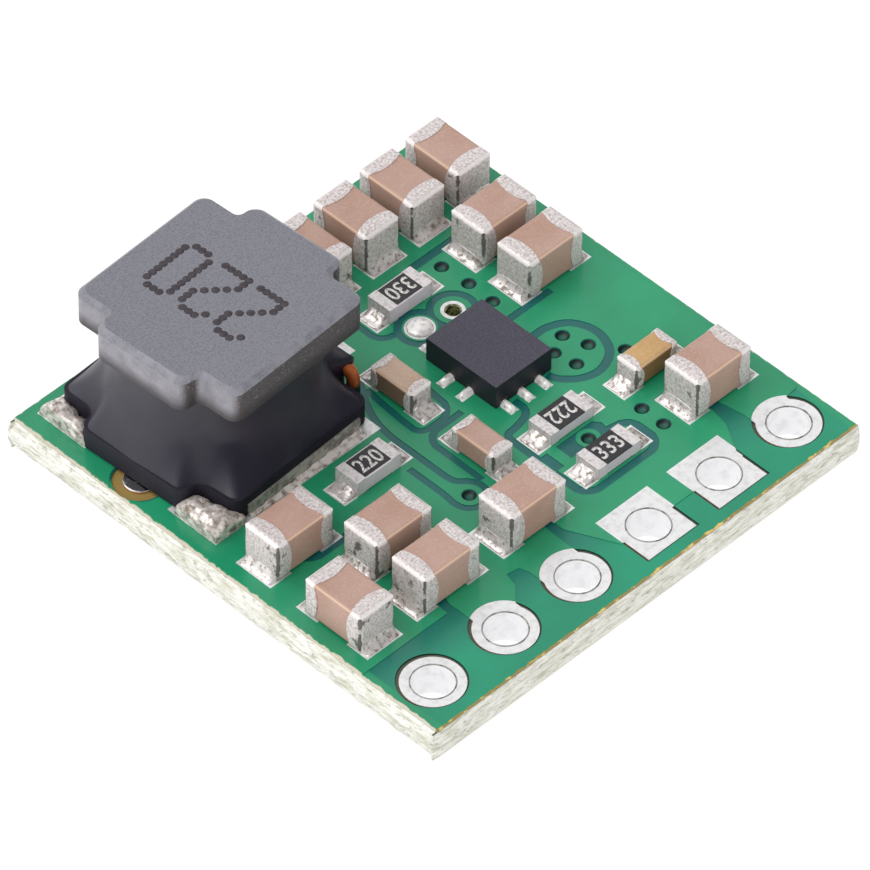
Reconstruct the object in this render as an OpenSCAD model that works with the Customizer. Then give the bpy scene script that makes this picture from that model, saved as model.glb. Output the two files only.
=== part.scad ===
// Boost converter module: a small square circuit board with one row of plated header holes.
// It carries a drum-core inductor, a leadless controller chip, ceramic capacitors and resistors.
// The origin is the centre of the board's underside, with the hole row along the front edge.

/* [Board] */
// Width of the board along the row of holes
board_w = 15.24; // [15.24:0.02:20]
// Depth of the board from the hole edge to the back edge
board_d = 15.24; // [15.24:0.02:20]
// Thickness over the solder mask on both faces
board_t = 1.0; // [0.8:0.05:1.6]
// Thickness of the copper foil on the top face
copper_t = 0.04; // [0.03:0.005:0.07]
// Thickness of the solder mask over copper
mask_t = 0.03; // [0.02:0.005:0.05]
// Copper-free margin along the board's edges
copper_margin = 0.2; // [0.18:0.01:0.3]

/* [Snapped edges] */
// How far the broken web stands out past the top face on the left
snap_left = 0.17; // [0.02:0.01:0.18]
// The same on the right
snap_right = 0.07; // [0.02:0.01:0.18]
// The same at the front
snap_front = 0.03; // [0.02:0.01:0.18]
// The same at the back
snap_back = 0.05; // [0.02:0.01:0.18]
// Depth of the score line cut into each face
score_depth = 0.3; // [0.1:0.01:0.4]

/* [Header holes] */
// Number of plated holes in the row, where the board is wide enough for them
hole_count = 6; // [2:1:6]
// Distance between neighbouring holes
hole_pitch = 2.54; // [2.2:0.01:2.54]
// Finished diameter of a plated hole
hole_d = 1.15; // [0.9:0.01:1.25]
// Distance from the front edge to the hole row
hole_edge = 1.27; // [1.2:0.01:1.5]
// Thickness of the plating in the holes
plating_t = 0.035; // [0.02:0.005:0.06]
// Diameter of a round pad and width of a square one
pad_w = 1.7; // [1.5:0.01:1.8]
// Least width of board beside the end pads
pad_side = 0.15; // [0.12:0.01:0.3]
// Margin of the mask opening round each pad
pad_opening = 0.075; // [0.05:0.005:0.1]
// Sideways misplacement of the mask over the pads
mask_shift_x = 0.02; // [0:0.005:0.04]
// Misplacement of the mask over the pads towards the back
mask_shift_y = 0.055; // [0:0.005:0.06]

/* [Vias] */
// Outer diameter of a via's barrel
via_d = 0.46; // [0.34:0.01:0.5]
// Wall of a via's barrel
via_wall = 0.04; // [0.03:0.005:0.06]
// Diameter of the ring of copper round a via that stands in a gap
via_ring = 0.66; // [0.56:0.01:0.75]

/* [Inductor] */
// Width of the lower flange of the drum core
lower_w = 6.2; // [5.9:0.05:6.3]
// Depth of the lower flange
lower_d = 6.1; // [5.8:0.05:6.2]
// Width of the upper flange
upper_w = 6.0; // [5.7:0.05:6.2]
// Depth of the upper flange
upper_d = 5.55; // [5.4:0.05:6.0]
// Thickness of the lower flange
lower_t = 0.65; // [0.55:0.05:0.9]
// Thickness of the upper flange
upper_t = 1.05; // [0.7:0.05:1.3]
// Height of the winding space between the flanges
window_h = 2.6; // [2.0:0.05:3.0]
// Diameter of the core's round post
post_d = 3.0; // [2.6:0.05:3.1]
// Width of the notch in each corner of a flange
notch_w = 0.6; // [0.5:0.02:0.66]
// Length of the notch along the side of a flange
notch_l = 1.25; // [1.1:0.02:1.3]
// Width of the bevel round the top face
top_bevel = 0.16; // [0.08:0.01:0.2]
// Diameter of the enamelled wire
wire_d = 0.36; // [0.3:0.01:0.44]
// Radius of the bend where a wire tail turns down into its notch
wire_bend = 0.4; // [0.38:0.01:0.5]
// Radius of the resin coat at its foot on the lower flange
coat_foot = 2.9; // [2.75:0.01:2.95]
// Radius of the resin coat at its waist
coat_waist = 2.46; // [2.42:0.01:2.6]
// Thickness of the plated terminals under the lower flange
terminal_t = 0.06; // [0.04:0.01:0.1]
// Height of the terminal on the flange's side
terminal_h = 0.42; // [0.3:0.02:0.5]
// Turn of the inductor on its lands, in degrees
inductor_turn = 3; // [0:0.5:4]

/* [Controller chip] */
// Width of the chip along the hole row
chip_w = 2.0; // [1.9:0.02:2.1]
// Depth of the chip
chip_d = 2.5; // [2.4:0.02:2.6]
// Height of the moulded body
chip_h = 0.75; // [0.6:0.05:1.0]
// Width of a lead
lead_w = 0.28; // [0.2:0.01:0.32]
// Length of a lead under the body
lead_l = 0.35; // [0.25:0.01:0.4]
// Height of a lead at the side of the body
lead_h = 0.2; // [0.15:0.01:0.25]
// Distance between the leads in the front and back rows
lead_pitch = 0.62; // [0.5:0.01:0.65]
// Length of a land outside the body
lead_reach = 0.42; // [0.3:0.01:0.45]

/* [Large capacitors] */
// Length
big_l = 2.0; // [1.9:0.02:2.1]
// Width
big_w = 1.25; // [1.15:0.01:1.35]
// Height
big_h = 1.25; // [1.0:0.05:1.35]
// Length of a plated end on the long faces
big_band = 0.48; // [0.35:0.01:0.6]
// Length of a land outside the plated end
big_reach = 0.27; // [0.2:0.01:0.3]
// Height to which the solder climbs
big_climb = 0.36; // [0.25:0.01:0.8]

/* [Small capacitors] */
// Length
small_l = 1.55; // [1.5:0.01:1.65]
// Width
small_w = 0.78; // [0.7:0.01:0.85]
// Height
small_h = 0.76; // [0.7:0.01:0.85]
// Length of a plated end on the long faces
small_band = 0.3; // [0.25:0.01:0.4]
// Length of a land outside the plated end
small_reach = 0.43; // [0.3:0.01:0.45]
// Height to which the solder climbs
small_climb = 0.3; // [0.2:0.01:0.5]

/* [Resistors] */
// Length
res_l = 1.52; // [1.45:0.01:1.62]
// Width
res_w = 0.8; // [0.75:0.01:0.85]
// Height of the two tall ones
res_h_tall = 0.48; // [0.4:0.01:0.55]
// Height of the two flat ones
res_h_flat = 0.37; // [0.32:0.01:0.5]
// Length of the plated end on the top face
res_band = 0.3; // [0.2:0.01:0.35]
// Length of a land outside the plated end
res_reach = 0.45; // [0.3:0.01:0.48]
// Thickness of the overcoat on the top face
overcoat_t = 0.03; // [0.02:0.005:0.05]
// Height to which the solder climbs
res_climb = 0.22; // [0.15:0.01:0.3]

/* [Plated ends] */
// Thickness of the plating on capacitor and resistor ends
plate_t = 0.025; // [0.015:0.005:0.04]
// Radius on the edges of the ceramic blocks
block_r = 0.1; // [0.03:0.01:0.12]
// How much rounder than an even coat the plating is on the edges of the ends
end_round = 0.025; // [0:0.005:0.03]
// How far a plated end bulges along the middle of each face
band_bulge = 0.15; // [0.05:0.01:0.18]
// Width by which the solder stays inside its land
solder_inset = 0.04; // [0.02:0.01:0.08]

/* [Placement] */
// Distance from the right edge to the right capacitor column
right_column = 1.84; // [1.75:0.01:1.9]
// Distance from the back edge to the back capacitor row
back_row = 1.67; // [1.6:0.01:1.8]
// Distance between the capacitors in the back row
back_pitch = 1.66; // [1.6:0.01:1.72]
// Distance between the capacitors in the right column
right_pitch = 1.66; // [1.6:0.01:1.7]
// Distance from the hole row to the front component row
front_row = 2.34; // [2.3:0.01:2.45]

/* [Hidden] */
$fn = 48;
eps = 0.01;

// Levels above the underside
laminate_bottom = mask_t;
laminate_top = board_t - mask_t - copper_t;
copper_top_z = board_t - mask_t;
mask_sink = 0.6 * mask_t;
score_d = min(score_depth, 0.45 * (laminate_top - laminate_bottom));

// Edges of the flat top and bottom faces inside the snapped webs
face_left = -board_w / 2 + snap_left;
face_right = board_w / 2 - snap_right;
face_front = -board_d / 2 + snap_front;
face_back = board_d / 2 - snap_back;

// Header holes, with two of them on square pads, counted from zero at the left
row_count = min(hole_count, floor((board_w - pad_w - 2 * pad_side) / hole_pitch) + 1);
hole_y = -board_d / 2 + hole_edge;
hole_r = hole_d / 2;
barrel_r = hole_r + plating_t;
square_pads = [3, 4];
function hole_x(i) = (i - (row_count - 1) / 2) * hole_pitch;
function is_square(i) = len(search(i, square_pads)) > 0;

// Component rows and columns
front_y = hole_y + front_row;
back_y = board_d / 2 - back_row;
right_x = board_w / 2 - right_column;
left_edge = -board_w / 2;
back_edge = board_d / 2;

// Capacitor places: x, y and turn
big_places = concat(
    [for (i = [0:3]) [right_x - 4.33 + i * back_pitch, back_y, 90]],
    [for (i = [0:1]) [right_x, 3.62 - i * right_pitch, 0]],
    [for (x = [-3.93, -0.88, right_x]) [x, front_y, 0]],
    [[left_edge + 1.26, -3.42, 90], [left_edge + 1.9, -0.63, 0], [-3.93, -2.32, 0]]);
small_places = [[0.1, 1.28, 90], [0.03, -1.7, 90], [5.16, -2.48, 0]];
// Resistor places: x, y and height
resistor_places = [
    [2.4, 3.63, res_h_tall], [-2.47, -0.14, res_h_tall],
    [2.25, -2.3, res_h_flat], [2.25, -3.98, res_h_flat]];

// Chip place, and the middles of its leads along each side
chip_at = [2.42, 0.45];
chip_lift = 0.02;
front_leads = [for (i = [-1:1]) -0.1 + i * lead_pitch];
side_leads = [-0.34, 0.34];
thermal_w = 0.9;
thermal_d = 1.3;

// Inductor place, its lands and its levels
inductor_at = [left_edge + 3.98, back_edge - 3.53];
inductor_land_at = [left_edge + 3.6, back_edge - 3.6];
inductor_land_w = 5.8;
inductor_land_span = 6.5;
inductor_land_d = 1.75;
lower_z = board_t + terminal_t;
window_z = lower_z + lower_t;
upper_z = window_z + window_h;
lower_shift = [-0.11, 0];
upper_shift = [0, -0.11];
flange_corner = 0.34;
notch_fillet = 0.24;
coil_layers = 2;
coil_turns = floor(window_h / wire_d);
coat_waist_z = 0.6 * window_h;
tail_x = lower_w / 2 - 0.25;
tail_y = -lower_d / 2 + notch_l + 0.05;
tail_z = window_z + wire_d / 2 + 0.02;
tail_run = 1.1;
terminal_foot = 0.3;
terminal_w = lower_w - 2 * (notch_w + flange_corner + 0.1);
// Solder domes in a left notch: place from the flange's corner, then radius
solder_domes = [[0.15, 0.35, 0.62], [0.1, 0.95, 0.55], [notch_w - 0.02, 0.2, 0.42]];

// Free-standing marks on the board: a round test pad, a square one, an open via and a fiducial
test_pad = [2.1, 2.61];
test_pad_d = 0.82;
square_pad = [0.09, 3.46];
square_pad_w = 0.55;
open_via = [3.16, 2.47];
fiducial = [left_edge + 0.92, back_edge - 3.87];
fiducial_d = 0.86;
fiducial_opening = 1.44;
fiducial_clear = 1.54;

// Tented vias in the copper areas, and the two that have a ring of their own
vias = [
    [4.06, 3.79], [4.13, 2.87], [4.1, 1.98], [4.5, -0.13], [4.74, -0.82], [4.03, -1.1],
    [3.9, -0.42], [4.08, -3.37], [4.08, -4.14], [5.28, -1.62]];
ringed_vias = [[-1.18, -2.45], [2.37, -3.16]];
via_bore_r = via_d / 2 - via_wall;
plug_depth = 0.2;
dimple_lift = 0.12;
dimple_r = norm([dimple_lift + board_t - copper_top_z, via_bore_r - 0.004]);

// Gaps between the copper areas: width, then the points along the middle
gap_lines = [
    [0.25, [[3.2, -0.85], [3.3, -1.15], [3.85, -1.68], [4.65, -1.68], [5.22, -1.1], [5.22, -0.2],
        [4.62, 0.37], [2.4, 0.37]]],
    [0.25, [[3.45, 4.28], [6.6, 4.28]]],
    [0.2, [[1.03, 4.05], [1.03, 3.0], [1.6, 2.85]]],
    [0.22, [[3.4, 1.23], [5.45, 1.23]]],
    [0.25, [[-4.32, hole_y + 1.3], [-4.32, -4.55], [-3.93, -4.2], [-3.93, -1.3], [-5.72, -1.3],
        [-5.72, 0.6]]],
    [0.2, [[-1.62, -0.75], [-1.62, -2.1], [-1.68, -2.45], [-1.54, -2.81], [-1.18, -2.96], [-0.82, -2.81],
        [-0.68, -2.45], [-0.82, -2.1], [-1.1, -1.9], [-1.15, -1.6], [-1.15, 0.6], [-0.95, 1.35],
        [-0.3, 2.4]]],
    [0.2, [[-0.42, 2.0], [-0.55, 0.5], [-0.55, -0.1], [0.62, -0.1], [0.7, 0.9]]],
    [0.2, [[0.75, -0.26], [-0.57, -0.26], [-0.57, -2.3]]],
    [0.24, [[0.88, -3.42], [0.88, -4.58], [3.58, -4.58], [3.58, -3.42], [2.95, -3.3]]],
    [0.22, [[1.98, -0.9], [1.98, -1.45], [1.35, -1.62], [0.92, -1.62], [0.92, -2.9]]]];
gap_areas = [
    [[1.56, -2.8], [2.85, -2.8], [3.0, -3.0], [2.95, -3.35], [1.56, -3.35]],
    [[0.94, -2.8], [1.24, -2.8], [1.24, -3.42], [0.94, -3.42]]];

// Ring-shaped gaps: middle, inner and outer diameter
gap_rings = [[test_pad, 0.94, 1.36], [open_via, 1.0, 1.42]];
gap_ease = [0.28, 0.1];

// Copper-free ground round the hole row: one area for each gap between the pours
row_clear = [
    [[face_left, face_front], [face_right, face_front], [face_right, hole_y + 0.02],
        [face_left, hole_y + 0.02]],
    [[face_left, hole_y], [hole_x(1) - 0.37, hole_y], [hole_x(1) - 0.37, hole_y + 1.4],
        [face_left, hole_y + 1.4]],
    [[hole_x(1) + 0.81, hole_y], [hole_x(2) - 0.73, hole_y], [hole_x(2) - 0.73, hole_y + 0.95],
        [hole_x(2) - 0.82, hole_y + 1.24], [hole_x(2) - 1.2, hole_y + 1.3], [hole_x(2) - 1.3, hole_y + 0.9],
        [hole_x(1) + 0.81, hole_y + 0.45]],
    [[hole_x(2) + 0.62, hole_y], [hole_x(3) - 0.97, hole_y], [hole_x(3) - 0.97, hole_y + 0.05],
        [hole_x(3) - 1.62, hole_y + 1.4], [hole_x(3) - 1.62, hole_y + 1.95],
        [hole_x(3) - 1.88, hole_y + 1.95], [hole_x(2) + 0.62, hole_y + 1.35]],
    [[hole_x(4) + 0.89, hole_y], [hole_x(5) - 0.6, hole_y], [hole_x(5) - 0.6, hole_y + 1],
        [hole_x(5) - 0.75, hole_y + 1.95], [hole_x(5) - 1, hole_y + 1.95], [hole_x(5) - 1.15, hole_y + 1.1],
        [hole_x(4) + 0.89, hole_y + 0.25]],
    [[hole_x(5) + 0.62, hole_y], [face_right, hole_y], [face_right, hole_y + 0.75],
        [hole_x(5) + 0.62, hole_y + 0.7]]];

// Outline of a ribbon of even width along a list of points, with mitred bends
function unit(v) = v / norm(v);
function side(p, i) = let (a = unit(p[max(i, 1)] - p[max(i, 1) - 1]), b = unit(p[min(i + 1, len(p) - 1)]
    - p[min(i, len(p) - 2)]), n = unit([-a[1] - b[1], a[0] + b[0]])) n / (n * [-a[1], a[0]]);
function ribbon(p, w) = concat(
    [for (i = [0:len(p) - 1]) p[i] + side(p, i) * w / 2],
    [for (i = [len(p) - 1:-1:0]) p[i] - side(p, i) * w / 2]);

// The same points with every bend cut back twice, so that the ribbon turns in an easy curve
function cut_back(p, i, r) = min(r, 0.3 * norm(p[i - 1] - p[i]), 0.3 * norm(p[i + 1] - p[i]));
function eased(p, r) = concat([p[0]], [for (i = [1:len(p) - 2], k = [-1, 1])
    p[i] + unit(p[i + k] - p[i]) * cut_back(p, i, r)], [p[len(p) - 1]]);
function turned(p) = len(p) < 3 ? p : eased(eased(p, gap_ease[0]), gap_ease[1]);

// Rectangle with rounded corners, centred
module rounded_rect(w, d, r) {
    square([w - 2 * r, d], center = true);
    square([w, d - 2 * r], center = true);
    for (sx = [-1, 1], sy = [-1, 1])
        translate([sx * (w / 2 - r), sy * (d / 2 - r)])
            circle(r);
}

// Block with all edges rounded, standing on z = 0
module rounded_block(l, w, h, r) {
    intersection() {
        linear_extrude(h)
            rounded_rect(l, w, r);
        translate([0, 0, h / 2])
            rotate([90, 0, 0])
                linear_extrude(w, center = true)
                    rounded_rect(l, h, r);
        translate([0, 0, h / 2])
            rotate([90, 0, 90])
                linear_extrude(l, center = true)
                    rounded_rect(w, h, r);
    }
}

// Pair of lands for a two-ended component of length l along X
module land_pair(l, w, band, reach) {
    for (s = [-1, 1])
        translate([s * (l / 2 + (reach - band) / 2), 0])
            square([band + reach, w], center = true);
}

// Concave solder fillets against both ends of a component of length l along X
module fillet_pair(l, w, reach, climb) {
    chord = norm([reach, climb]);
    hollow = 0.7 * min(atan(climb / reach), atan(reach / climb));
    sag = chord / 2 * tan(hollow / 2);
    r = (chord * chord / 4 + sag * sag) / (2 * sag);
    middle = [reach, climb] / 2 + [climb, reach] / chord * (r - sag);
    for (s = [0, 180])
        rotate([0, 0, s])
            translate([l / 2, 0, 0])
                rotate([90, 0, 0])
                    linear_extrude(w, center = true)
                        difference() {
                            polygon([[0, 0], [reach, 0], [0, climb]]);
                            translate(middle)
                                circle(r);
                        }
}

// Placing helpers
module at_big(i) {
    translate([big_places[i][0], big_places[i][1], board_t])
        rotate([0, 0, big_places[i][2]])
            children();
}

module at_small(i) {
    translate([small_places[i][0], small_places[i][1], board_t])
        rotate([0, 0, small_places[i][2]])
            children();
}

module at_resistor(i) {
    translate([resistor_places[i][0], resistor_places[i][1], board_t])
        children();
}

module at_inductor(z) {
    translate([inductor_at[0], inductor_at[1], z])
        rotate([0, 0, inductor_turn])
            children();
}

module at_chip(z) {
    translate([chip_at[0], chip_at[1], z])
        children();
}

// Board artwork, seen from above
module face_outline() {
    translate([face_left, face_front])
        square([face_right - face_left, face_back - face_front]);
}

module hole_pad(i, w) {
    translate([hole_x(i), hole_y])
        if (is_square(i))
            square(w, center = true);
        else
            circle(w / 2);
}

module hole_pads(w) {
    for (i = [0:row_count - 1])
        hole_pad(i, w);
}

module hole_circles(r) {
    for (i = [0:row_count - 1])
        translate([hole_x(i), hole_y])
            circle(r);
}

module via_circles(r) {
    for (p = concat(vias, ringed_vias, [open_via]))
        translate(p)
            circle(r);
}

module chip_lands() {
    for (x = front_leads, s = [-1, 1])
        translate([x, s * (chip_d + lead_reach - lead_l) / 2])
            square([lead_w, lead_l + lead_reach], center = true);
    for (y = side_leads, s = [-1, 1])
        translate([s * (chip_w + lead_reach - lead_l) / 2, y])
            square([lead_l + lead_reach, lead_w], center = true);
    square([thermal_w, thermal_d], center = true);
}

module component_lands() {
    for (p = big_places)
        translate([p[0], p[1]])
            rotate(p[2])
                land_pair(big_l, big_w, big_band, big_reach);
    for (p = small_places)
        translate([p[0], p[1]])
            rotate(p[2])
                land_pair(small_l, small_w, small_band, small_reach);
    for (p = resistor_places)
        translate([p[0], p[1]])
            land_pair(res_l, res_w, res_band, res_reach);
    inductor_lands();
    translate(chip_at)
        chip_lands();
    translate(test_pad)
        circle(d = test_pad_d);
    translate(square_pad)
        square(square_pad_w, center = true);
    translate(open_via)
        circle(d = via_ring);
    translate(fiducial)
        circle(d = fiducial_d);
}

module copper_shape() {
    difference() {
        union() {
            difference() {
                translate([-board_w / 2 + copper_margin, -board_d / 2 + copper_margin])
                    square([board_w - 2 * copper_margin, board_d - 2 * copper_margin]);
                for (g = gap_lines)
                    polygon(ribbon(turned(g[1]), g[0]));
                for (a = concat(gap_areas, row_clear))
                    polygon(a);
                for (r = gap_rings)
                    translate(r[0])
                        circle(d = r[2]);
                translate(fiducial)
                    circle(d = fiducial_clear);
            }
            for (r = gap_rings)
                translate(r[0])
                    circle(d = r[1]);
            component_lands();
            hole_pads(pad_w);
            for (p = ringed_vias)
                translate(p)
                    circle(d = via_ring);
        }
        hole_circles(barrel_r);
        via_circles(via_d / 2);
    }
}

module hole_openings() {
    translate([mask_shift_x, mask_shift_y])
        hole_pads(pad_w + 2 * pad_opening);
}

module mask_openings() {
    component_lands();
    hole_openings();
    translate(fiducial)
        circle(d = fiducial_opening);
}

// Board pieces
module snapped_profile(low, high, low_snap, high_snap) {
    polygon([
        [low + low_snap, laminate_bottom], [low, laminate_bottom + score_d],
        [low, laminate_top - score_d], [low + low_snap, laminate_top],
        [high - high_snap, laminate_top], [high, laminate_top - score_d],
        [high, laminate_bottom + score_d], [high - high_snap, laminate_bottom]]);
}

module pcb_laminate() {
    color("#d9d5b8")
        difference() {
            intersection() {
                rotate([90, 0, 0])
                    linear_extrude(board_d, center = true)
                        snapped_profile(-board_w / 2, board_w / 2, snap_left, snap_right);
                rotate([90, 0, 90])
                    linear_extrude(board_w, center = true)
                        snapped_profile(-board_d / 2, board_d / 2, snap_front, snap_back);
            }
            linear_extrude(board_t) {
                hole_circles(barrel_r);
                via_circles(via_d / 2);
            }
        }
}

module copper_pours() {
    color("#b87333")
        translate([0, 0, laminate_top])
            linear_extrude(copper_t)
                copper_shape();
}

module tinned_lands() {
    color("#d8d8d4")
        translate([0, 0, copper_top_z])
            linear_extrude(mask_t)
                intersection() {
                    copper_shape();
                    mask_openings();
                }
}

module solder_mask_top() {
    color("#2f9a68")
        difference() {
            union() {
                translate([0, 0, laminate_top])
                    linear_extrude(copper_t + mask_t - mask_sink)
                        difference() {
                            face_outline();
                            copper_shape();
                            mask_openings();
                            via_circles(via_d / 2);
                        }
                translate([0, 0, copper_top_z])
                    linear_extrude(mask_t)
                        difference() {
                            union() {
                                copper_shape();
                                via_circles(via_d / 2);
                            }
                            mask_openings();
                        }
                for (p = concat(vias, ringed_vias))
                    translate([p[0], p[1], copper_top_z - plug_depth])
                        cylinder(r = via_bore_r, h = plug_depth + mask_t / 2);
            }
            for (p = concat(vias, ringed_vias))
                translate([p[0], p[1], board_t + dimple_lift])
                    sphere(dimple_r);
        }
}

module solder_mask_bottom() {
    color("#2f9a68")
        linear_extrude(mask_t)
            difference() {
                face_outline();
                hole_pads(pad_w + 2 * pad_opening);
                translate(open_via)
                    circle(d = via_ring);
            }
}

module bore_plating() {
    color("#d8d8d4")
        difference() {
            union() {
                linear_extrude(board_t)
                    hole_circles(barrel_r);
                linear_extrude(mask_t)
                    hole_pads(pad_w);
            }
            translate([0, 0, -eps])
                linear_extrude(board_t + 2 * eps)
                    hole_circles(hole_r);
        }
}

module via_barrels() {
    color("#b87333")
        translate([0, 0, laminate_bottom])
            linear_extrude(copper_top_z - laminate_bottom)
                difference() {
                    via_circles(via_d / 2);
                    via_circles(via_bore_r);
                }
}

// Inductor pieces
module flange_shape(w, d) {
    step_x = w / 2 - notch_w;
    step_y = d / 2 - notch_l;
    rounded_rect(w, 2 * step_y, flange_corner);
    rounded_rect(2 * step_x, d, flange_corner);
    for (sx = [-1, 1], sy = [-1, 1])
        translate([sx * step_x, sy * step_y])
            scale([sx, sy])
                difference() {
                    translate([-eps, -eps])
                        square(notch_fillet + eps);
                    translate([notch_fillet, notch_fillet])
                        circle(notch_fillet);
                }
}

module lower_flange() {
    translate([lower_shift[0], lower_shift[1], lower_z])
        linear_extrude(lower_t)
            flange_shape(lower_w, lower_d);
}

module inductor_core() {
    color("#74747c")
        at_inductor(0) {
            lower_flange();
            translate([0, 0, lower_z])
                cylinder(d = post_d, h = lower_t + window_h + upper_t / 2);
            translate([upper_shift[0], upper_shift[1], upper_z]) {
                linear_extrude(upper_t - top_bevel)
                    flange_shape(upper_w, upper_d);
                translate([0, 0, upper_t - top_bevel])
                    linear_extrude(top_bevel, scale = 1 - 2 * top_bevel / upper_w)
                        flange_shape(upper_w, upper_d);
            }
        }
}

module coil_rings() {
    translate([0, 0, window_z])
        rotate_extrude()
            translate([post_d / 2, 0])
                square([coil_layers * wire_d, coil_turns * wire_d]);
}

module inductor_winding() {
    color("#b5652f")
        at_inductor(0)
            coil_rings();
}

// A wire tail runs out over the lower flange, bends and drops through a corner notch to the board
module wire_tail() {
    translate([tail_x, tail_y, tail_z]) {
        rotate([-90, 0, 0])
            cylinder(d = wire_d, h = tail_run);
        translate([0, 0, -wire_bend])
            rotate([180, -90, 0])
                rotate_extrude(angle = 90)
                    translate([wire_bend, 0])
                        circle(d = wire_d);
        translate([0, -wire_bend, board_t - tail_z])
            cylinder(d = wire_d, h = tail_z - wire_bend - board_t);
    }
}

module wire_tails() {
    translate([lower_shift[0], lower_shift[1], 0])
        for (m = [0, 1])
            mirror([0, m, 0])
                wire_tail();
}

module inductor_wire_tails() {
    color("#c46a35")
        at_inductor(0)
            wire_tails();
}

// Resin between the flanges with a hollow outline, widest at its foot
module inductor_coat() {
    flare = coat_foot - coat_waist;
    hollow_r = (flare * flare + coat_waist_z * coat_waist_z) / (2 * flare);
    color("#3a3640")
        at_inductor(0)
            difference() {
                translate([0, 0, window_z])
                    rotate_extrude()
                        difference() {
                            translate([post_d / 2, 0])
                                square([coat_foot - post_d / 2, window_h]);
                            translate([coat_waist + hollow_r, coat_waist_z])
                                circle(hollow_r, $fn = 180);
                        }
                coil_rings();
                wire_tails();
            }
}

module inductor_terminals() {
    color("#b9bab4")
        at_inductor(board_t)
            translate([lower_shift[0], lower_shift[1], 0])
                for (a = [0, 180])
                    rotate([0, 0, a])
                        translate([-terminal_w / 2, -lower_d / 2 - terminal_t, 0]) {
                            cube([terminal_w, terminal_t, terminal_h]);
                            cube([terminal_w, inductor_land_d - 0.4, terminal_t]);
                        }
}

module inductor_lands() {
    for (s = [-1, 1])
        translate([inductor_land_at[0], inductor_land_at[1] + s * (inductor_land_span - inductor_land_d) / 2])
            square([inductor_land_w, inductor_land_d], center = true);
}

// Solder under the inductor: domes that fill the left notches and a fillet along each terminal
module inductor_solder() {
    color("#d8d4d0")
        difference() {
            intersection() {
                translate([0, 0, board_t])
                    linear_extrude(2 * lower_t)
                        inductor_lands();
                at_inductor(board_t)
                    translate([lower_shift[0], lower_shift[1], 0]) {
                        for (s = [-1, 1], dome = solder_domes)
                            translate([dome[0] - lower_w / 2, s * (dome[1] - lower_d / 2), 0])
                                sphere(dome[2]);
                        fillet_pair_y(lower_d + 2 * terminal_t, terminal_w, terminal_foot, terminal_h);
                    }
            }
            at_inductor(0) {
                lower_flange();
                wire_tails();
            }
            inductor_terminals();
        }
}

module fillet_pair_y(l, w, reach, climb) {
    rotate([0, 0, 90])
        fillet_pair(l, w, reach, climb);
}

// Chip pieces
module chip_leads_shape(h) {
    for (x = front_leads, s = [-1, 1])
        translate([x - lead_w / 2, s > 0 ? chip_d / 2 - lead_l : -chip_d / 2, 0])
            cube([lead_w, lead_l, h]);
    for (y = side_leads, s = [-1, 1])
        translate([s > 0 ? chip_w / 2 - lead_l : -chip_w / 2, y - lead_w / 2, 0])
            cube([lead_l, lead_w, h]);
    translate([-thermal_w / 2, -thermal_d / 2, 0])
        cube([thermal_w, thermal_d, h]);
}

module chip_leadframe() {
    color("#c9cac6")
        at_chip(board_t)
            chip_leads_shape(lead_h);
}

module chip_body() {
    color("#3a3644")
        difference() {
            at_chip(board_t + chip_lift)
                translate([-chip_w / 2, -chip_d / 2, 0])
                    cube([chip_w, chip_d, chip_h]);
            at_chip(board_t)
                chip_leads_shape(lead_h);
        }
}

module chip_solder() {
    color("#d8d4d0")
        at_chip(board_t) {
            for (x = front_leads)
                translate([x, 0, 0])
                    rotate([0, 0, 90])
                        fillet_pair(chip_d, lead_w, lead_reach, lead_h);
            for (y = side_leads)
                translate([0, y, 0])
                    fillet_pair(chip_w, lead_w, lead_reach, lead_h);
        }
}

// Capacitor and resistor pieces
module ceramic_block(l, w, h) {
    translate([0, 0, plate_t])
        rounded_block(l - 2 * plate_t, w - 2 * plate_t, h - 2 * plate_t, block_r);
}

module plated_ends(l, w, h, band) {
    reach_w = (w * w / 4 + band_bulge * band_bulge) / (2 * band_bulge);
    reach_h = (h * h / 4 + band_bulge * band_bulge) / (2 * band_bulge);
    for (s = [0, 180])
        rotate([0, 0, s])
            difference() {
                intersection() {
                    rounded_block(l, w, h, block_r + plate_t + end_round);
                    union() {
                        translate([l / 2 - band + reach_w, 0, -h])
                            cylinder(r = reach_w, h = 3 * h);
                        translate([l / 2 - band + reach_h, 0, h / 2])
                            rotate([90, 0, 0])
                                cylinder(r = reach_h, h = 3 * w, center = true);
                    }
                }
                ceramic_block(l, w, h);
            }
}

module large_capacitor_ceramic(i) {
    color("#b99a88")
        at_big(i)
            ceramic_block(big_l, big_w, big_h);
}

module large_capacitor_ends(i) {
    color("#d6d2ce")
        at_big(i)
            plated_ends(big_l, big_w, big_h, big_band);
}

module small_capacitor_ceramic(i) {
    color(i == 1 ? "#b99a88" : "#bd9a6c")
        at_small(i)
            ceramic_block(small_l, small_w, small_h);
}

module small_capacitor_ends(i) {
    color("#d6d2ce")
        at_small(i)
            plated_ends(small_l, small_w, small_h, small_band);
}

module resistor_ceramic(i) {
    h = resistor_places[i][2];
    color("#e4e2de")
        at_resistor(i)
            translate([-res_l / 2 + plate_t, -res_w / 2, plate_t])
                cube([res_l - 2 * plate_t, res_w, h - 2 * plate_t]);
}

module resistor_overcoat(i) {
    h = resistor_places[i][2];
    coat_d = h > res_h_flat ? res_w - 0.1 : res_w;
    color("#2b2930")
        at_resistor(i)
            translate([-res_l / 2 + res_band, -coat_d / 2, h - plate_t])
                cube([res_l - 2 * res_band, coat_d, overcoat_t]);
}

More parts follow.
